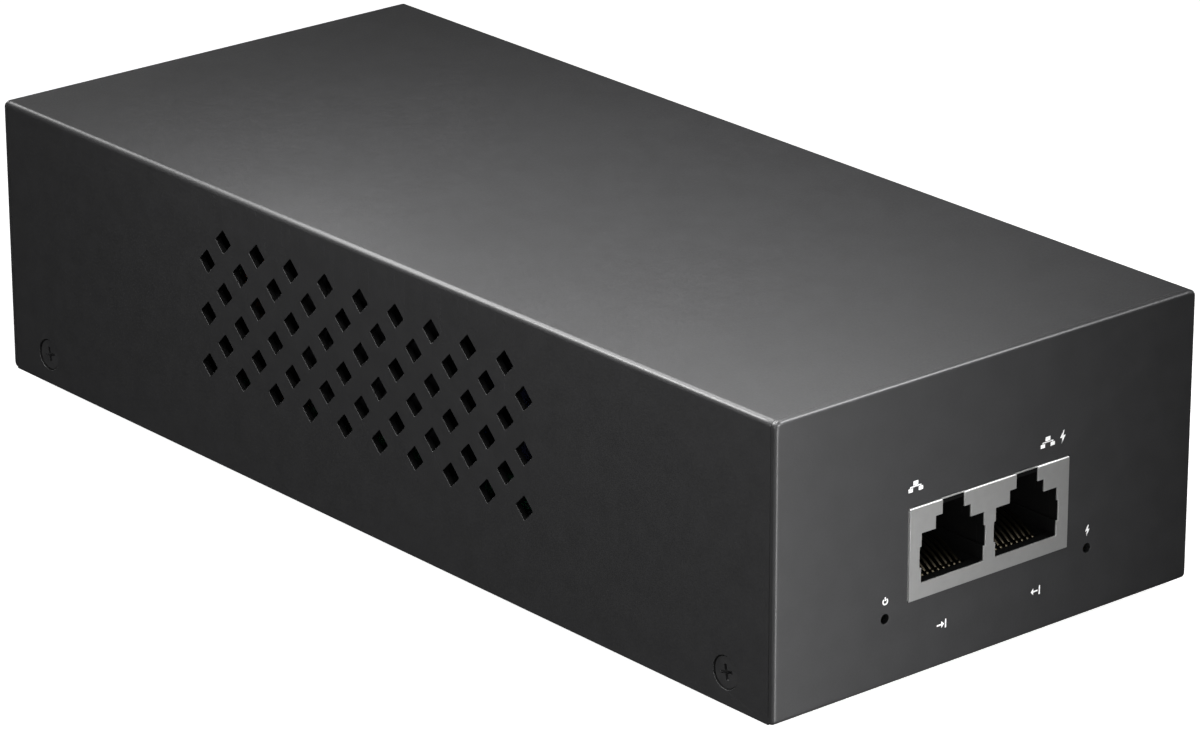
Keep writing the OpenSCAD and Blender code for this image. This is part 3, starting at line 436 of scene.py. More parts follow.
def top_cover():
    half_top = HALF - BEND
    reach = half_top + ARC + PANEL
    holes = []
    for side in (-1, 1):
        for row in range(6):
            count = 10 if row % 2 == 0 else 9
            s = side * (reach - VENT_LOW - row * VENT_ROW)
            for i in range(count):
                holes.append(diamond(s, LENGTH / 2 + (i - (count - 1) / 2) * VENT_PITCH))
    holes += [circle(side * (reach - SCREW_Z), u, SINK_R, 40) for side, u in SCREW_AT]
    seam = SHEET + SEAM
    bm = plate(rect(0, LENGTH / 2, 2 * reach, LENGTH - 2 * seam), holes, SHEET, 0.06)
    cut(bm, 0, [side * (half_top + c) for side in (-1, 1) for c in BEND_CUTS])

    def fold(co):
        radius, centre = bend_at(-co.z)
        over = max(0, abs(co.x) - half_top)
        angle = min(over / ARC, 1) * math.pi / 2
        x = min(abs(co.x), HALF - centre) + radius * math.sin(angle)
        z = HEIGHT - centre + radius * math.cos(angle)
        if over > ARC:
            z = min(z, HEIGHT - BEND - over + ARC)
        return Vector((math.copysign(x, co.x), co.y, z))

    cones = [on_side(lathe(SINK_CONE, 40, True), side, u, SCREW_Z) for side, u in SCREW_AT]
    cover = make("folded_cover", [warp(bm, fold), *cones], powder_coat, ["top_cover"])
    cover.data.materials.append(case_inside_painted_shade)
    # Faces deeper than 0.12 mm into the sheet (vent and countersink walls, and the inside) get painted shade
    for face in cover.data.polygons:
        centre = face.center
        x_in = HALF - abs(centre.x) / MM
        z_in = HEIGHT - (centre.z - case_z) / MM
        depth = min(x_in, z_in)
        if x_in < BEND and z_in < BEND:
            depth = BEND - math.hypot(BEND - x_in, BEND - z_in)
        if depth > 0.12:
            face.material_index = 1


def on_side(bm, side, u, z):
    """Turns a shape that stands on +Z into one that stands out of a side wall at its outer face."""
    return warp(bm, lambda co: Vector((side * (HALF + co.z), u + co.x, z + co.y)))


def chassis_fold(co):
    """Folds the flat chassis: front panel, floor, rear panel; y runs down the front panel first."""
    radius, centre = bend_at(-co.z)
    rear_bend = PANEL + ARC + LENGTH - 2 * BEND
    if co.y < PANEL:
        return Vector((co.x, -co.z, max(HEIGHT - co.y, centre)))
    if co.y < PANEL + ARC:
        angle = (co.y - PANEL) / BEND
        return Vector((co.x, centre - radius * math.cos(angle), centre - radius * math.sin(angle)))
    if co.y < rear_bend:
        u = BEND + co.y - PANEL - ARC
        return Vector((co.x, min(max(u, centre), LENGTH - centre), -co.z))
    if co.y < rear_bend + ARC:
        angle = (co.y - rear_bend) / BEND
        return Vector((co.x, LENGTH - centre + radius * math.sin(angle), centre - radius * math.cos(angle)))
    return Vector((co.x, LENGTH + co.z, max(BEND + co.y - rear_bend - ARC, centre)))


def round_corner(x, y, r, start):
    """Arc that rounds the corner at (x, y) of an outline, from a start angle in degrees."""
    centre_x, centre_y = x - math.copysign(r, x), y - r if y > r else y + r
    angles = [math.radians(start + 15 * i) for i in range(7)]
    return [(centre_x + r * math.cos(a), centre_y + r * math.sin(a)) for a in angles]


def keyhole(y):
    """Entry circle and slot in one outline; the slot runs towards the rear."""
    r, w, run = 4.0, 2.0, 8.0
    start = math.asin(w / r)
    loop = [(r * math.sin(a), y - r * math.cos(a))
            for a in [(-math.pi + start) + (math.tau - 2 * start) * i / 32 for i in range(33)]]
    tip = [(w * math.cos(a), y + run + w * math.sin(a)) for a in [math.pi * i / 12 for i in range(13)]]
    return loop + tip


def chassis_outline():
    """Full width at both panels, and between the cover's walls along the floor."""
    right = [(HALF, STEP), (INNER, STEP), (INNER, STRIP - STEP), (HALF, STRIP - STEP)]
    outline = right + round_corner(HALF, STRIP, BEND, 0) + round_corner(-HALF, STRIP, BEND, 90)
    outline += [(-x, y) for x, y in right[::-1]]
    return outline + round_corner(-HALF, 0, BEND, 180) + round_corner(HALF, 0, BEND, 270)


def chassis_holes():
    """Openings for the jack, the lights, the wall screws, the board's standoffs and the inlet."""
    floor_y = PANEL + ARC - BEND
    holes = [rect(0, HEIGHT - SHIELD_Z - SHIELD_H / 2, SHIELD_W + 0.2, SHIELD_H + 0.2)]
    holes += [circle(side * LIGHT_X, HEIGHT - LIGHT_Z, LIGHT_HOLE_R, 24) for side in (-1, 1)]
    holes += [keyhole(floor_y + LENGTH / 2 + off) for off in (-KEYHOLE_OFFSET, KEYHOLE_OFFSET)]
    holes += [circle(side * STANDOFF_X, floor_y + u, STANDOFF_SEAT_R) for side in (-1, 1) for u in STANDOFF_U]
    w, h, corner = 13.8, 10, 5
    inlet_hole = [(-w, -h), (w, -h), (w, h - corner), (w - corner, h), (corner - w, h), (-w, h - corner)]
    holes.append(rounded([(x, STRIP - HEIGHT + INLET_Z + y) for x, y in inlet_hole], 0.4))
    return holes + [circle(side * INLET_SCREW_X, STRIP - HEIGHT + INLET_Z, 1.7) for side in (-1, 1)]


def soften_rim(co):
    """Rounds the outer edge of the front and rear panels."""
    from_end = min(co.y, STRIP - co.y)
    if from_end > STEP or co.z < -SHEET / 2:
        return co
    from_side = HALF - abs(co.x)
    inset = min(from_end, from_side)
    if from_end < BEND and from_side < BEND:
        inset = BEND - math.hypot(BEND - from_end, BEND - from_side)
    if inset >= EDGE:
        return co
    drop = EDGE - math.sqrt(max(0, EDGE ** 2 - (EDGE - max(0, inset)) ** 2))
    return Vector((co.x, co.y, min(co.z, -drop)))


# Rectangles in a side view: middle and size, back from the panel and up
SIDE_FLANGE = (4.4, 27, 7.2, 26)
SCREW_TAB = (9.75, 5, 10.5, 9)


def flanges_and_tabs():
    """Flanges behind the front and rear panels, and the tabs that the cover screws into."""
    parts = []
    for end in (0, 1):
        def at_end(co, end=end):
            return Vector((co.x, LENGTH - co.y if end else co.y, co.z))

        top = HEIGHT - SHEET - SEAM
        flange = plate(rounded(rect(0, 4.4, 2 * INNER - 4, 7.2), 1), [], SHEET, 0.1)
        parts.append(warp(warp(flange, lambda co: co + Vector((0, 0, top))), at_end))
        for side in (-1, 1):
            for shape in (SIDE_FLANGE, SCREW_TAB):
                holes = [circle(SCREW_U, SCREW_Z, 1.3)] if shape is SCREW_TAB else []
                tab = plate(rounded(rect(*shape), 0.8), holes, SHEET, 0.1)
                parts.append(warp(warp(tab, lambda co: Vector((side * (INNER + co.z), co.x, co.y))), at_end))
    return parts


def chassis():
    strip = plate(chassis_outline(), chassis_holes(), SHEET, 0.04)
    cut(strip, 1, [start + c for start in (PANEL, STRIP - PANEL - ARC) for c in BEND_CUTS])
    border = [EDGE * k for k in (0.25, 0.45, 0.7, 1)] + [BEND, BEND + 0.8]
    cut(strip, 0, [side * (HALF - d) for side in (-1, 1) for d in [*border, 10, 20, 30]])
    cut(strip, 1, border + [STRIP - d for d in border])
    warp(warp(strip, soften_rim), chassis_fold)
    earth_stud = lathe([(0, 0.6), (1.85, 0.6), (1.85, 8.6), (1.5, 9), (0, 9)], 24)
    warp(earth_stud, lambda co: co + Vector((25, 161, 0)))
    parts = [strip, *flanges_and_tabs(), earth_stud]
    body = make("folded_chassis", parts, powder_coat, ["base_chassis"])
    # The panels' upper edge rounds get a lighter, metallic finish, a painted highlight, and the walls of
    # the two light holes get the near-black inside finish, painted shade
    body.data.materials.append(edge_painted_highlight)
    body.data.materials.append(case_inside_painted_shade)
    for face in body.data.polygons:
        u = (face.center.y - front_y) / MM
        z = (face.center.z - case_z) / MM
        from_face = min(u, LENGTH - u)
        if z > HEIGHT - EDGE and from_face < EDGE and abs(face.normal.y) < 0.99 and face.normal.z < 0.99:
            face.material_index = 1
        light_hole = math.hypot(abs(face.center.x) / MM - LIGHT_X, z - LIGHT_Z)
        if light_hole < LIGHT_HOLE_R + 0.05 and 0.06 < u < SHEET:
            face.material_index = 2


# ---- screws and feet


def cross_cutter(span, depth, width=0.52):
    """The cross of a Phillips recess, tapering to its bottom at z = -depth."""
    arms = []
    for turn in (0, math.pi / 2):
        arm = bmesh.new()
        bmesh.ops.create_cube(arm, size=1)

        def taper(co, turn=turn):
            low = co.z < 0
            x = co.x * span * (0.5 if low else 1.05)
            y = co.y * width * (0.75 if low else 1.02)
            z = -depth if low else depth * 0.12
            return Matrix.Rotation(turn, 3, "Z") @ Vector((x, y, z))

        arms.append(warp(arm, taper))
    return combine(*arms, "UNION")


THREAD_PITCH = 0.45


def thread(r, low, high):
    """Profile points of a screw's threaded shank, as a row of rounded crests."""
    points = [(0, low), (r * 0.7, low)]
    z = low + THREAD_PITCH * 0.5
    while z < high - THREAD_PITCH:
        points += [(r * 0.84, z), (r, z + THREAD_PITCH * 0.4), (r, z + THREAD_PITCH * 0.5)]
        z += THREAD_PITCH
    return points + [(r * 0.84, high)]


def flat_head_screw(head_d, cone_h, shank_d, length):
    """A countersunk screw with its head's flat face at z = 0."""
    r = head_d / 2
    profile = thread(shank_d / 2, -length, -cone_h)
    profile += [(shank_d / 2, -cone_h), (r - 0.06, -0.12), (r, -0.06), (r - 0.06, 0), (0, 0)]
    return carve(lathe(profile, 40), cross_cutter(head_d * 0.52, head_d * 0.22))


def cover_screws():
    sink = 0.25
    screws = []
    for side, u in SCREW_AT:
        turn = math.radians(12 * side)
        screw = warp(flat_head_screw(4.7, 1.1, 2.4, 4.75), lambda co: Matrix.Rotation(turn, 3, "Z") @ co)
        screws.append(on_side(warp(screw, lambda co: co - Vector((0, 0, sink))), side, u, SCREW_Z))
    return make("phillips_cover_screws", screws, screw_black, ["cover_screws"])


def feet():
    """Moulded rubber bumpers, slightly coned, with a shallow dish in the underside."""
    names = {(-1, 0): "foot_front_left", (1, 0): "foot_front_right",
             (-1, 1): "foot_rear_left", (1, 1): "foot_rear_right"}
    for (side, end), node in names.items():
        u = LENGTH - FOOT_INSET if end else FOOT_INSET
        dish = [(0, -1.25), (2.6, -1.25), (3.0, -1.5)]
        profile = dish + [(3.6, -1.5), (4.0, -1.36), (4.12, -1.1), (4.5, -0.12), (4.45, 0), (0, 0)]
        foot = warp(lathe(profile, 56), lambda co: co + Vector((side * FOOT_X, u, 0)))
        make("bumper_" + node[5:], [foot], rubber, [node])


# ---- dual network jack

PORTS = (-7.0, 7.0)
PORT_FLOOR = 13.85
WELL_FLOOR, WELL_HALF = 12.5, 4.15
PORT_STEPS = [(5.9, 21.2), (3.3, 23.07), (2.075, 24.38)]
PORT_SIDE = (6.225, 16.1, 19.2)
JACK_DEPTH = 21.2
FOIL = 0.25


def facing_front(bm, u):
    """Turns a plate drawn as [right, up] so that its outer face looks to the front at distance u."""
    return warp(bm, lambda co: Vector((co.x, u - co.z, co.y)))


def facing_back(bm, u):
    """Turns a plate drawn as [right, up] so that its outer face looks to the rear at distance u."""
    return warp(bm, lambda co: Vector((co.x, u + co.z, co.y)))


def port_outline(x, top=None):
    """The plug opening: floor, side windows, shoulders and latch way, as one outline."""
    side, low, high = PORT_SIDE
    half = [(5.9, PORT_FLOOR), (5.9, low), (side, low), (side, high)]
    for i, (w, z) in enumerate(PORT_STEPS):
        half += [(w, high if i == 0 else PORT_STEPS[i - 1][1]), (w, z)]
    if top:
        half[-1] = (half[-1][0], top)
    return [(x + px, z) for px, z in half] + [(x - px, z) for px, z in half[::-1]]


def jack_shield():
    half = SHIELD_W / 2
    top = SHIELD_Z + SHIELD_H
    # The face is one outline, because both latch ways are open through its top edge.
    outline = [(-half, SHIELD_Z), (half, SHIELD_Z), (half, top)]
    for x in PORTS[::-1]:
        slot = port_outline(x, top)
        outline += slot[len(slot) // 2 - 1::-1] + slot[:len(slot) // 2 - 1:-1]
    outline += [(-half, top)]
    face = plate(outline, [], FOIL, 0.03)
    roll = 0.3
    cut(face, 1, [top - roll * k for k in (0.2, 0.4, 0.6, 0.8, 1)])

    def roll_over(co):
        over = max(0, co.y - top + roll)
        return Vector((co.x, co.y, co.z - roll + math.sqrt(max(0, roll ** 2 - over ** 2))))

    face = facing_front(warp(face, roll_over), -SHIELD_PROUD)
    radius = 0.4
    arc = radius * math.pi / 2
    half_top = half - radius
    reach = half_top + arc + SHIELD_H - radius - 0.1
    shell = plate(rect(0, JACK_DEPTH / 2 + 0.02, 2 * reach, JACK_DEPTH - 0.06), [], FOIL, 0.05)
    cut(shell, 0, [side * (half_top + arc * i / 4) for side in (-1, 1) for i in range(5)])

    def fold(co):
        over = max(0, abs(co.x) - half_top)
        angle = min(over / arc, 1) * math.pi / 2
        r = radius + co.z
        x = min(abs(co.x), half_top) + r * math.sin(angle)
        z = top - radius + r * math.cos(angle) - max(0, over - arc)
        return Vector((math.copysign(x, co.x), co.y, z))

    warp(shell, fold)
    parts = [face, shell]
    back = plate(rect(0, SHIELD_Z + SHIELD_H / 2, SHIELD_W - 0.6, SHIELD_H - 0.5), [], FOIL, 0.05)
    parts.append(facing_back(back, JACK_DEPTH))
    for side in (-1, 1):
        leg = plate(rounded(rect(14.3, 10.1, 1.9, 3.4), 0.3), [], FOIL, 0.05)
        parts.append(warp(leg, lambda co: Vector((side * (half + co.z), co.x, co.y))))
    return make("nickel_shield", parts, nickel, ["jack_shield"])


def contact_path(hinge):
    """Side view of a springy arm: it rises steeply from the fold, flattens and dips at its free tip."""
    return [tuple(hinge + Vector((8.6 * t, 2.75 * (1 - (1 - t) ** 2.4) - 1.1 * max(0, t - 0.86))))
            for t in [(i / 18) ** 1.4 for i in range(19)]]


CONTACT_PITCH = 1.016
CONTACT_X = [(i - 3.5) * CONTACT_PITCH for i in range(8)]
HINGE = Vector((2.57, 13.775))


def side_strip(centre, x, width=0.45, thickness=0.25):
    """A strip seen from the side as [back, up], centred on x."""
    strip = plate(band(centre, thickness), [], width, 0.05, 1)
    return warp(strip, lambda co: Vector((x + co.z + width / 2, co.x, co.y)))


def contacts():
    """Fixed tails and moving arms for both ports, each arm of round-edged gold-plated strip."""
    for port, name in zip(PORTS, ("in", "out")):
        arms, tails = [], []
        for i, dx in enumerate(CONTACT_X):
            arms.append(side_strip(contact_path(HINGE), port + dx))
            tail_u = 13 if i % 2 == 0 else 15.54
            fold = [(2.4 - 0.525 * math.cos(a), 13.25 + 0.525 * math.sin(a))
                    for a in [math.pi / 2 - math.pi * k / 10 for k in range(11)]]
            corner = [(tail_u - 0.3 + 0.3 * math.sin(a), 12.425 + 0.3 * math.cos(a))
                      for a in [math.pi / 2 * k / 4 for k in range(5)]]
            tails.append(side_strip(fold + corner + [(tail_u, 8.8)], port + dx))
        body = {"in": "input_contacts", "out": "output_contacts"}[name]
        make("contact_springs_" + name, arms, gold, ["contact_arms_" + name], body)
        make("contact_runs_" + name, tails, gold, ["contact_tails_" + name])


def jack_housing():
    """The moulded insert: a lipped front, the contact well, the comb and a solid back."""
    half = SHIELD_W / 2 - FOIL - 0.05
    low, high = 11.55, SHIELD_Z + SHIELD_H - FOIL - 0.05
    outline = [(-half, low), (half, low), (half, high), (-half, high)]
    lip = facing_front(plate(outline, [port_outline(x) for x in PORTS], 1.55, 0.12), 0.05)
    wells = []
    for x in PORTS:
        hole = port_outline(x)
        low_left, low_right = (x - WELL_HALF, WELL_FLOOR), (x + WELL_HALF, WELL_FLOOR)
        wells.append([(x - WELL_HALF, PORT_FLOOR), low_left, low_right, (x + WELL_HALF, PORT_FLOOR)] + hole)
    middle = facing_front(plate(outline, wells, 13.4, 0.02, 0), 1.6)
    back = facing_front(plate(outline, [], JACK_DEPTH - FOIL - 15.05, 0.1), 15.0)
    parts = [lip, middle, back]
    for x in PORTS:
        for i in range(9):
            tooth = plate(rounded(rect(12.45, 14.75, 4.3, 4.5), 0.3), [], 0.316, 0.05)
            tooth_x = x + (i - 4) * CONTACT_PITCH + 0.158
            parts.append(warp(tooth, lambda co: Vector((tooth_x + co.z, co.x, co.y))))
    for side in (-1, 1):
        peg = lathe([(0, 8.6), (1.2, 8.6), (1.5, 9.2), (1.5, 11.7), (0, 11.7)], 24)
        parts.append(warp(peg, lambda co: co + Vector((side * 9.2, 8.9, 0))))
    return make("moulded_jack", parts, jack_black_painted_shade, ["jack_housing"])


# ---- printed marks

PRINT = 0.03


def print_plate(outline, holes=()):
    return facing_front(plate(outline, holes, PRINT, 0.002, 0), -PRINT + 0.001)


def bar(x0, z0, x1, z1, w=0.28):
    return print_plate(band([(x0, z0), (x1, z1)], w))


def bolt_mark(x, z, size):
    """A small lightning flash."""
    shape = [(0.15, 1.0), (-0.55, -0.12), (-0.06, -0.12), (-0.2, -1.0), (0.55, 0.2), (0.05, 0.2), (0.3, 1.0)]
    return [print_plate([(x + px * size / 2, z + pz * size / 2) for px, pz in shape])]


def network_mark(x, z):
    """Three small boxes joined by lines."""
    marks = [print_plate(rect(x, z + 0.45, 0.9, 0.6)), print_plate(rect(x - 0.95, z - 0.5, 0.8, 0.55)),
             print_plate(rect(x + 0.95, z - 0.5, 0.8, 0.55))]
    marks += [bar(x, z + 0.15, x, z - 0.02, 0.16), bar(x - 1.03, z - 0.02, x + 1.03, z - 0.02, 0.16)]
    return marks + [bar(x + dx, z - 0.02, x + dx, z - 0.24, 0.16) for dx in (-0.95, 0.95)]


def power_mark(x, z):
    """An open ring with a short stroke in its gap."""
    turns = [math.radians(40 + 280 * i / 20) for i in range(21)]
    ring = [(x + 0.42 * math.sin(a), z + 0.42 * math.cos(a)) for a in turns]
    return [print_plate(band(ring, 0.2)), bar(x, z + 0.1, x, z + 0.66, 0.2)]


def arrow_mark(x, z, inwards):
    """An arrow that meets or leaves a short wall."""
    wall = x + 0.75
    tip = wall - 0.3 if inwards else x - 0.95
    tail = tip - 1.35 if inwards else tip + 1.35
    back = tip - 0.5 if inwards else tip + 0.5
    head = [(tip, z), (back, z + 0.5), (back, z - 0.5)]
    return [bar(wall, z - 0.65, wall, z + 0.65, 0.22), bar(tail, z, back, z, 0.22), print_plate(head)]


def legends():
    marks = network_mark(-14.0, 28.4)
    marks += network_mark(11.0, 28.4) + bolt_mark(13.9, 28.4, 1.9)
    marks += power_mark(-19.3, 12.8) + bolt_mark(19.3, 12.9, 1.6)
    marks += arrow_mark(-8.6, 6.4, True) + arrow_mark(9.4, 6.4, False)
    make("printed_marks", marks, ink)


# ---- mains inlet


def inlet_shape(w, h, corner, r=0.6):
    """Rectangle with its two upper corners cut off, at the inlet's height."""
    x, z = w / 2, h / 2
    loop = [(-x, -z), (x, -z), (x, z - corner), (x - corner, z), (corner - x, z), (-x, z - corner)]
    return rounded([(px, INLET_Z + pz) for px, pz in loop], r)


PINS = {"line_pin": (-7, -2), "neutral_pin": (7, -2), "earth_pin": (0, 2)}
FLANGE = 3.0
INLET_DEPTH = 17.0
INLET_WALL = 3.0
RIB_H = 1.2
INLET_SCREW_X = 20


def inlet():
    face_u = LENGTH + FLANGE
    back_u = LENGTH - INLET_DEPTH
    w, h = 25, 11.3
    rim = [(-w, -5), (-17, -h), (17, -h), (w, -5), (w, 5), (17, h), (-17, h), (-w, 5)]
    rim = rounded([(x, INLET_Z + z) for x, z in rim], 2.0, 5)
    recess = inlet_shape(24.2, 16.2, 4.6, 0.5)
    bores = [circle(side * INLET_SCREW_X, INLET_Z, 1.7, 32) for side in (-1, 1)]
    parts = [facing_back(plate(rim, [recess, *bores], FLANGE, 0.35, 3), face_u)]
    # The sleeve round the recess, the back wall with the pins' slots, and two ribs on that wall
    sleeve = plate(inlet_shape(27, 19.4, 5, 0.8), [recess], INLET_DEPTH - INLET_WALL, 0.15)
    parts.append(facing_back(sleeve, LENGTH - 0.02))
    slots = [rect(x, INLET_Z + z, 2.1, 4.1) for x, z in PINS.values()]
    parts.append(facing_back(plate(inlet_shape(27, 19.4, 5, 0.8), slots, 2.98, 0.15), back_u + 2.99))
    for side in (-1, 1):
        rib = plate(rounded(rect(side * 9.6, INLET_Z, 1.0, 10), 0.3), [], RIB_H, 0.15)
        parts.append(facing_back(rib, back_u + INLET_WALL + RIB_H))
    make("mains_inlet", parts, inlet_black, ["inlet_housing"])
    for name, (x, z) in PINS.items():
        tip_u, half = LENGTH, 2.0
        side_view = [(back_u - 1, -half), (tip_u - 1, -half), (tip_u, 0.8 - half), (tip_u, half - 0.8),
                     (tip_u - 1, half), (back_u - 1, half)]
        blade_bm = plate(rounded(side_view, 0.25), [], 2, 0.3, 3)
        tab = plate(rounded(rect(back_u - 4.75, 0, 8.5, 6), 0.8), [circle(back_u - 6, 0, 0.9, 24)], 0.8, 0.15)
        parts = [warp(blade_bm, lambda co: Vector((x + co.z + 1, co.x, INLET_Z + z + co.y))),
                 warp(tab, lambda co: Vector((x + co.z + 0.4, co.x, INLET_Z + z + co.y)))]
        make(name[:-4] + "_blade", parts, blade, [name])
    screws, nuts = [], []
    for side in (-1, 1):
        screw = flat_head_screw(5.8, 1.5, 2.8, 9)

        def at_screw(co, u, side=side):
            return Vector((side * INLET_SCREW_X + co.x, u + co.z, INLET_Z + co.y))

        screws.append(warp(screw, lambda co: at_screw(co, face_u - 0.1)))
        flats = 5.5 / math.cos(math.pi / 6) / 2
        nut = plate(circle(0, 0, flats, 6), [circle(0, 0, 1.42, 28)], 2.4, 0.25)
        nuts.append(warp(nut, lambda co: at_screw(co, LENGTH - SHEET)))
    make("inlet_cross_screws", screws, screw_black, ["inlet_screws"])
    make("inlet_hex_nuts", nuts, zinc, ["inlet_nuts"])


# ---- inner parts seen through the vents

BOARD_Z = 11.5
LEAD_END_Z = 8.75


def tube(points, r, n):
    """A round wire along a line of points, closed at both ends."""
    bm = bmesh.new()
    rings = []
    up = Vector((0.13, 0.21, 0.97)).normalized()
    for i, point in enumerate(points):
        along = (Vector(points[min(i + 1, len(points) - 1)]) - Vector(points[max(i - 1, 0)])).normalized()
        side = along.cross(up).normalized()
        up = side.cross(along).normalized()
        ring = []
        for k in range(n):
            a = math.tau * k / n
            ring.append(bm.verts.new(Vector(point) + r * (math.cos(a) * side + math.sin(a) * up)))
        rings.append(ring)
    for low, high in zip(rings, rings[1:]):
        for k in range(n):
            bm.faces.new([low[k], low[(k + 1) % n], high[(k + 1) % n], high[k]])
    bm.faces.new(rings[0][::-1])
    bm.faces.new(rings[-1])
    return bm


def toroid_turns(centre, inner, outer, low, high, r, arcs, per_turn=16):
    """Wire wound round a ring core: one helix for each arc of (start, end, turns) in degrees."""
    coils = []
    for start, end, turns in arcs:
        points = []
        steps = int(turns * per_turn)
        for i in range(steps + 1):
            t = i / steps
            a = math.radians(start + (end - start) * t)
            b = math.tau * turns * t
            # A rounded rectangle round the ring's section
            cx, cz = (inner + outer) / 2, (low + high) / 2
            wx, wz = (outer - inner) / 2 + r, (high - low) / 2 + r
            power = 0.45
            rx = cx + wx * math.copysign(abs(math.cos(b)) ** power, math.cos(b))
            z = cz + wz * math.copysign(abs(math.sin(b)) ** power, math.sin(b))
            points.append((centre[0] + rx * math.cos(a), centre[1] + rx * math.sin(a), z))
        coils.append(tube(points, r, 8))
    return coils


def shift(bm, x, u, z=0.0):
    return warp(bm, lambda co: co + Vector((x, u, z)))


def node_frame(name):
    """A CAD node's box in case millimetres: low corner and high corner."""
    low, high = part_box(name)
    return [Vector((v.x / MM, (v.y - front_y) / MM, (v.z - case_z) / MM)) for v in (low, high)]


def can(r, h):
    """The sleeve of an upright electrolytic capacitor, with its crimp and turned-over ends."""
    foot = [(0, 0.1), (r - 0.9, 0.1), (r - 0.3, 0.3), (r, 0.8)]
    crimp = [(r, 1.5), (r - 0.5, 2.0), (r, 2.5)]
    rim = [(r, h - 0.7), (r - 0.25, h - 0.2), (r - 0.8, h), (r - 1.4, h - 0.05)]
    recess = [(r - 1.5, h - 0.35), (0, h - 0.35)]
    return lathe(foot + crimp + rim + recess, 48)


def can_top(r, h):
    """The bare aluminium disc in a capacitor's top, scored with a cross."""
    disc = lathe([(0, h - 1), (r - 1.45, h - 1), (r - 1.45, h - 0.28), (0, h - 0.28)], 40)
    score = cross_cutter((r - 1.6) * 1.6, 0.2, 0.35)
    return carve(disc, shift(score, 0, 0, h - 0.28))


def capacitors():
    rows = (("bulk_capacitor", [(13, 113)], 9, 27, 3.75),
            ("output_capacitors", [(-26, 50), (-26, 62)], 5, 20, 2.5))
    for name, places, r, h, lead_x in rows:
        sleeves, tops, legs = [], [], []
        for x, u in places:
            sleeves.append(shift(can(r, h), x, u, BOARD_Z))
            tops.append(shift(can_top(r, h), x, u, BOARD_Z))
            legs += [leg(x + side * lead_x, u, LEAD_END_Z, BOARD_Z + 0.4, 0.3) for side in (-1, 1)]
        make(name + "_sleeve", sleeves, can_sleeve, [name])
        make(name + "_top", tops, aluminium)
        make(name + "_leads", legs, zinc)


def leg(x, u, low, high, r=0.4):
    """A straight upright lead."""
    return shift(lathe([(0, low), (r, low), (r, high), (0, high)], 12), x, u)


def coils():
    """Copper turns round the choke's core and round the output inductor's."""
    x, u, base = -13, 125, BOARD_Z + 4
    turns = toroid_turns((x, u), 5.4, 9, base, base + 7, 0.66, [(-57, 57, 8), (123, 237, 8)])
    legs = [leg(x + side * 6, u + end * 8.2, LEAD_END_Z, base - 0.2) for side in (-1, 1) for end in (-1, 1)]
    make("choke_turns", turns + legs, copper, ["choke_windings"])
    x, u, base = 2, 58, BOARD_Z + 0.6
    turns = toroid_turns((x, u), 5.0, 7.65, base + 1.35, base + 7.65, 0.64, [(0, 358, 21)])
    legs = [leg(x + side * 5.5, u, LEAD_END_Z, base + 1.5) for side in (-1, 1)]
    make("inductor_turns", turns + legs, copper, ["output_inductor"])
    section = [(5.0, 0.05), (5.05, 0), (7.6, 0), (7.65, 0.05)]
    section += [(r, 6.3 - z) for r, z in section[::-1]]
    core = lathe(section, 48, True)
    make("inductor_core", [shift(core, x, u, base + 1.35)], film_yellow)


def transformer():
    """A barrel of tape whose layers show as fine steps, and slots in the two-part core."""
    low, high = node_frame("transformer_winding")
    x, u = (low.x + high.x) / 2, (low.y + high.y) / 2
    r, bore = (high.x - low.x) / 2, 6.05
    profile = [(bore, low.z), (r - 0.3, low.z), (r - 0.1, low.z + 0.3)]
    z = low.z + 1.2
    while z < high.z - 1.2:
        profile += [(r, z), (r - 0.12, z + 0.15)]
        z += 2.4
    profile += [(r - 0.1, high.z - 0.3), (r - 0.3, high.z), (bore, high.z)]
    barrel = shift(lathe(profile, 56, True), x, u)
    make("tape_barrel", [barrel], tape, ["transformer_winding"])
    low, high = node_frame("transformer_core")
    split = (low.z + high.z) / 2
    halves = []
    w, limb, yoke = (high.x - low.x) / 2, 2.8, 4.0
    for z0, z1, upper in ((low.z, split - 0.03, False), (split + 0.03, high.z, True)):
        if upper:
            shape = [(-w, z0), (limb - w, z0), (limb - w, z1 - yoke), (w - limb, z1 - yoke),
                     (w - limb, z0), (w, z0), (w, z1), (-w, z1)]
        else:
            shape = [(-w, z0), (w, z0), (w, z1), (w - limb, z1),
                     (w - limb, z0 + yoke), (limb - w, z0 + yoke), (limb - w, z1), (-w, z1)]
        half = plate(rounded(shape, 0.25, 2), [], high.y - low.y, 0.25)
        halves.append(warp(half, lambda co: Vector((x + co.x, high.y + co.z, co.y))))
        post_top = z1 - yoke + 0.1 if upper else z1
        post = lathe([(0, z0), (4.95, z0), (4.95, post_top), (0, post_top)], 40)
        halves.append(shift(post, x, u))
    make("core_halves", halves, ferrite, ["transformer_core"])


top_cover()
chassis()
cover_screws()
inlet()
capacitors()
coils()
transformer()
feet()
jack_shield()
jack_housing()
contacts()
legends()

# Moulded and cut parts that come straight from the frame get softened edges
SOFTENED = {
    "x_capacitor": 0.6, "bridge_rectifier": 0.25, "data_transformer_in": 0.12, "data_transformer_out": 0.12,
    "port_controller": 0.1, "supply_controller": 0.08, "optocoupler": 0.1, "mains_header": 0.2,
    "mains_plug": 0.2,
    "fuse": 0.3, "primary_heatsink": 0.12, "secondary_heatsink": 0.12, "switching_transistor": 0.12,
    "output_rectifier": 0.12, "terminal_sleeves": 0.35, "transformer_bobbin": 0.15, "earth_lug": 0.1,
    "board_standoffs": 0.12, "board_screws": 0.1, "heatsink_screws": 0.1, "main_board": 0.06,
    "earth_nut": 0.15,
}
for name, width in SOFTENED.items():
    bevel = nodes[name].modifiers.new("softened", "BEVEL")
    bevel.width = width * MM
    bevel.segments = 2
    bevel.limit_method = "ANGLE"
    bevel.angle_limit = math.radians(50)

# ---- camera, floor and lights

scene = bpy.context.scene
scene.view_settings.view_transform = "Standard"

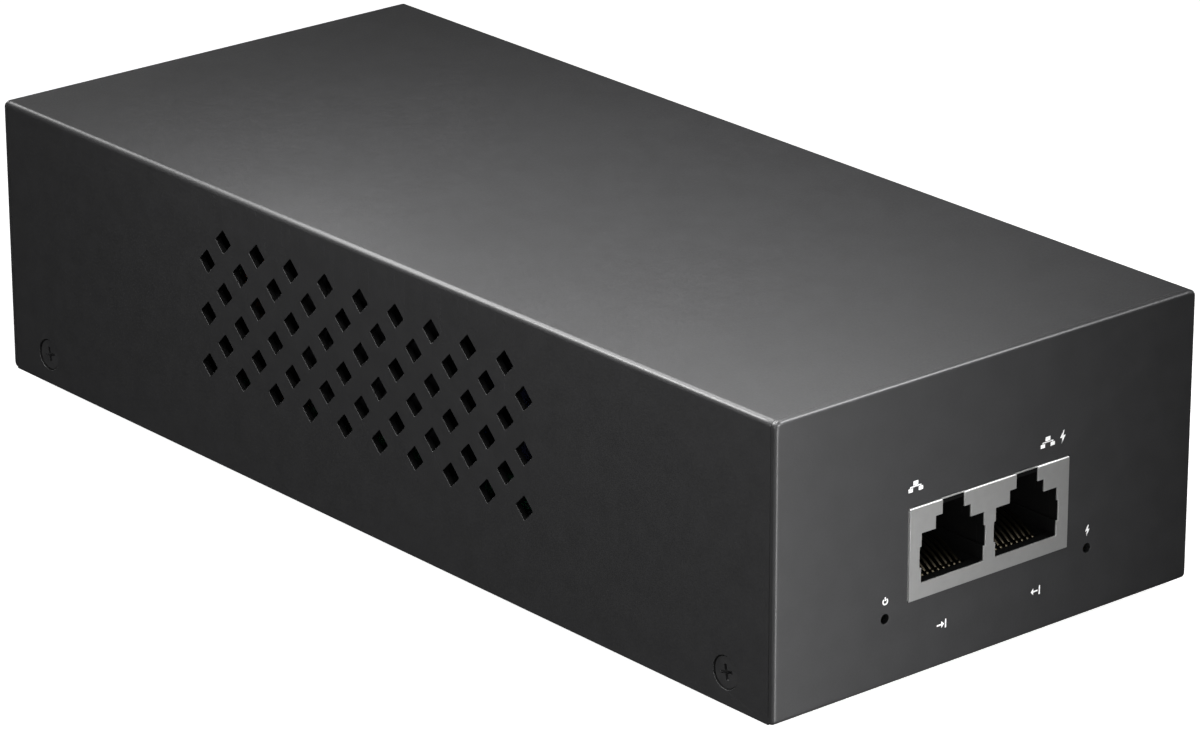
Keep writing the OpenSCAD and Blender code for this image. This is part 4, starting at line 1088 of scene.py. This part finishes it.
near_corner = Vector((chassis_low.x, front_y, case_z))
camera_data = bpy.data.cameras.new("camera")
camera = bpy.data.objects.new("camera", camera_data)
scene.collection.objects.link(camera)
camera.location = near_corner + Vector((-0.4586, -0.5078, 0.3134))
look = Vector((0.60230, 0.71414, -0.35671)).normalized()
side = look.cross(Vector((0.23133, 0.27153, 0.93422))).normalized()
camera.rotation_euler = Matrix((side, side.cross(look), -look)).transposed().to_euler()
camera_data.lens = 167.4
camera_data.sensor_width = 36
camera_data.clip_start = 0.01
scene.camera = camera

floor_mesh = bpy.data.meshes.new("floor")
bm = bmesh.new()
bmesh.ops.create_grid(bm, x_segments=1, y_segments=1, size=4)
bm.to_mesh(floor_mesh)
bm.free()
floor = bpy.data.objects.new("floor", floor_mesh)
scene.collection.objects.link(floor)
floor_white, floor_shader = tree("floor_white")
floor_shader.inputs["Base Color"].default_value = (0.8, 0.8, 0.8, 1)
floor_shader.inputs["Roughness"].default_value = 1.0
floor_shader.inputs["Emission Color"].default_value = (1, 1, 1, 1)
floor_shader.inputs["Emission Strength"].default_value = 0.92
dress(floor, floor_white)
# The floor is lit like a paper sweep, but it doesn't brighten the dark case from below.
floor.visible_diffuse = False
floor.visible_glossy = False
floor.visible_shadow = False

world = bpy.data.worlds.new("studio")
world.use_nodes = True
world.node_tree.nodes["Background"].inputs["Color"].default_value = (1, 1, 1, 1)
world.node_tree.nodes["Background"].inputs["Strength"].default_value = 1.0
world.cycles_visibility.diffuse = False
world.cycles_visibility.glossy = False
scene.world = world


def studio_light(name, energy, location, target, w, h=None, along=None):
    """A soft box that the camera doesn't see, aimed at a point, with its height along a direction."""
    lamp = bpy.data.lights.new(name, "AREA")
    lamp.shape = "RECTANGLE" if h else "SQUARE"
    lamp.size = w
    if h:
        lamp.size_y = h
    lamp.energy = energy
    return aim(lamp, location, target, along)


def aim(lamp, location, target, along=None):
    """Places a light and turns it to its target."""
    obj = bpy.data.objects.new(lamp.name, lamp)
    scene.collection.objects.link(obj)
    obj.location = location
    to_target = Vector(target) - Vector(location)
    obj.rotation_euler = to_target.to_track_quat("-Z", "Y").to_euler()
    if along:
        back = -to_target.normalized()
        right = Vector(along).cross(back).normalized()
        obj.rotation_euler = Matrix((right, back.cross(right), back)).transposed().to_euler()
    obj.visible_camera = False
    return obj


def towards(azimuth, elevation):
    """The direction of an azimuth from +X and an elevation, in degrees."""
    a, e = math.radians(azimuth), math.radians(elevation)
    return Vector((math.cos(a) * math.cos(e), math.sin(a) * math.cos(e), math.sin(e)))


near_top = near_corner + Vector((0, 0, case_h))
middle = Vector((0, 0, case_z + case_h / 2))
studio_light("left_wall", 4.65, middle + towards(180, 12), middle, 0.5)
studio_light("edge_back", 0.065, near_top + 0.15 * towards(50, 45), near_top, 0.08)
studio_light("edge_rear", 0.089, near_top + 0.15 * towards(90, 30), near_top, 0.08)
# A strip that only shows as a reflection in the edges that face up and forwards
edge_strip = studio_light("edge_front", 0.65, near_top + 0.3 * towards(-31, 43), near_top, 0.05, 0.21,
                          (0, -0.894, -0.447))
edge_strip.visible_diffuse = False
side_glint = studio_light("edge_side", 0.42, near_top + 0.25 * towards(117, 37), near_top, 0.06)
side_glint.visible_diffuse = False
studio_light("rear_fill", 3.0, (0.1, 1.2, 0.12), (0, 0.09, 0.02), 0.5)
studio_light("right_fill", 3.0, (1.2, 0.0, 0.10), (0.04, 0, 0.02), 0.5)
for name, energy, dx, du in (("front_wide", 0.134, 0, 0.09), ("front_close", 0.032, 0.02, 0.05),
                             ("front_corner", 0.017, -0.06, 0.05)):
    spot_at = near_top + Vector((dx, -du, -case_h / 2))
    studio_light(name, energy, spot_at, spot_at + Vector((0, 1, 0)), 0.02, 0.16)
for name, energy, dx, du, dz in (("top_near", 0.119, 0, 0.05, 0.10), ("top_middle", 0.032, 0.06, 0.12, 0.12),
                                 ("top_corner", 0.05, -0.04, 0, 0.10)):
    spot_at = near_top + Vector((dx, du, dz))
    studio_light(name, energy, spot_at, spot_at - Vector((0, 0, 1)), 0.06)
rim = bpy.data.lights.new("rim", "SPOT")
rim.spot_size = math.radians(24)
rim.spot_blend = 1.0
rim.shadow_soft_size = 0.15
rim.energy = 29.5
aim(rim, near_top + towards(80, 21), near_top)
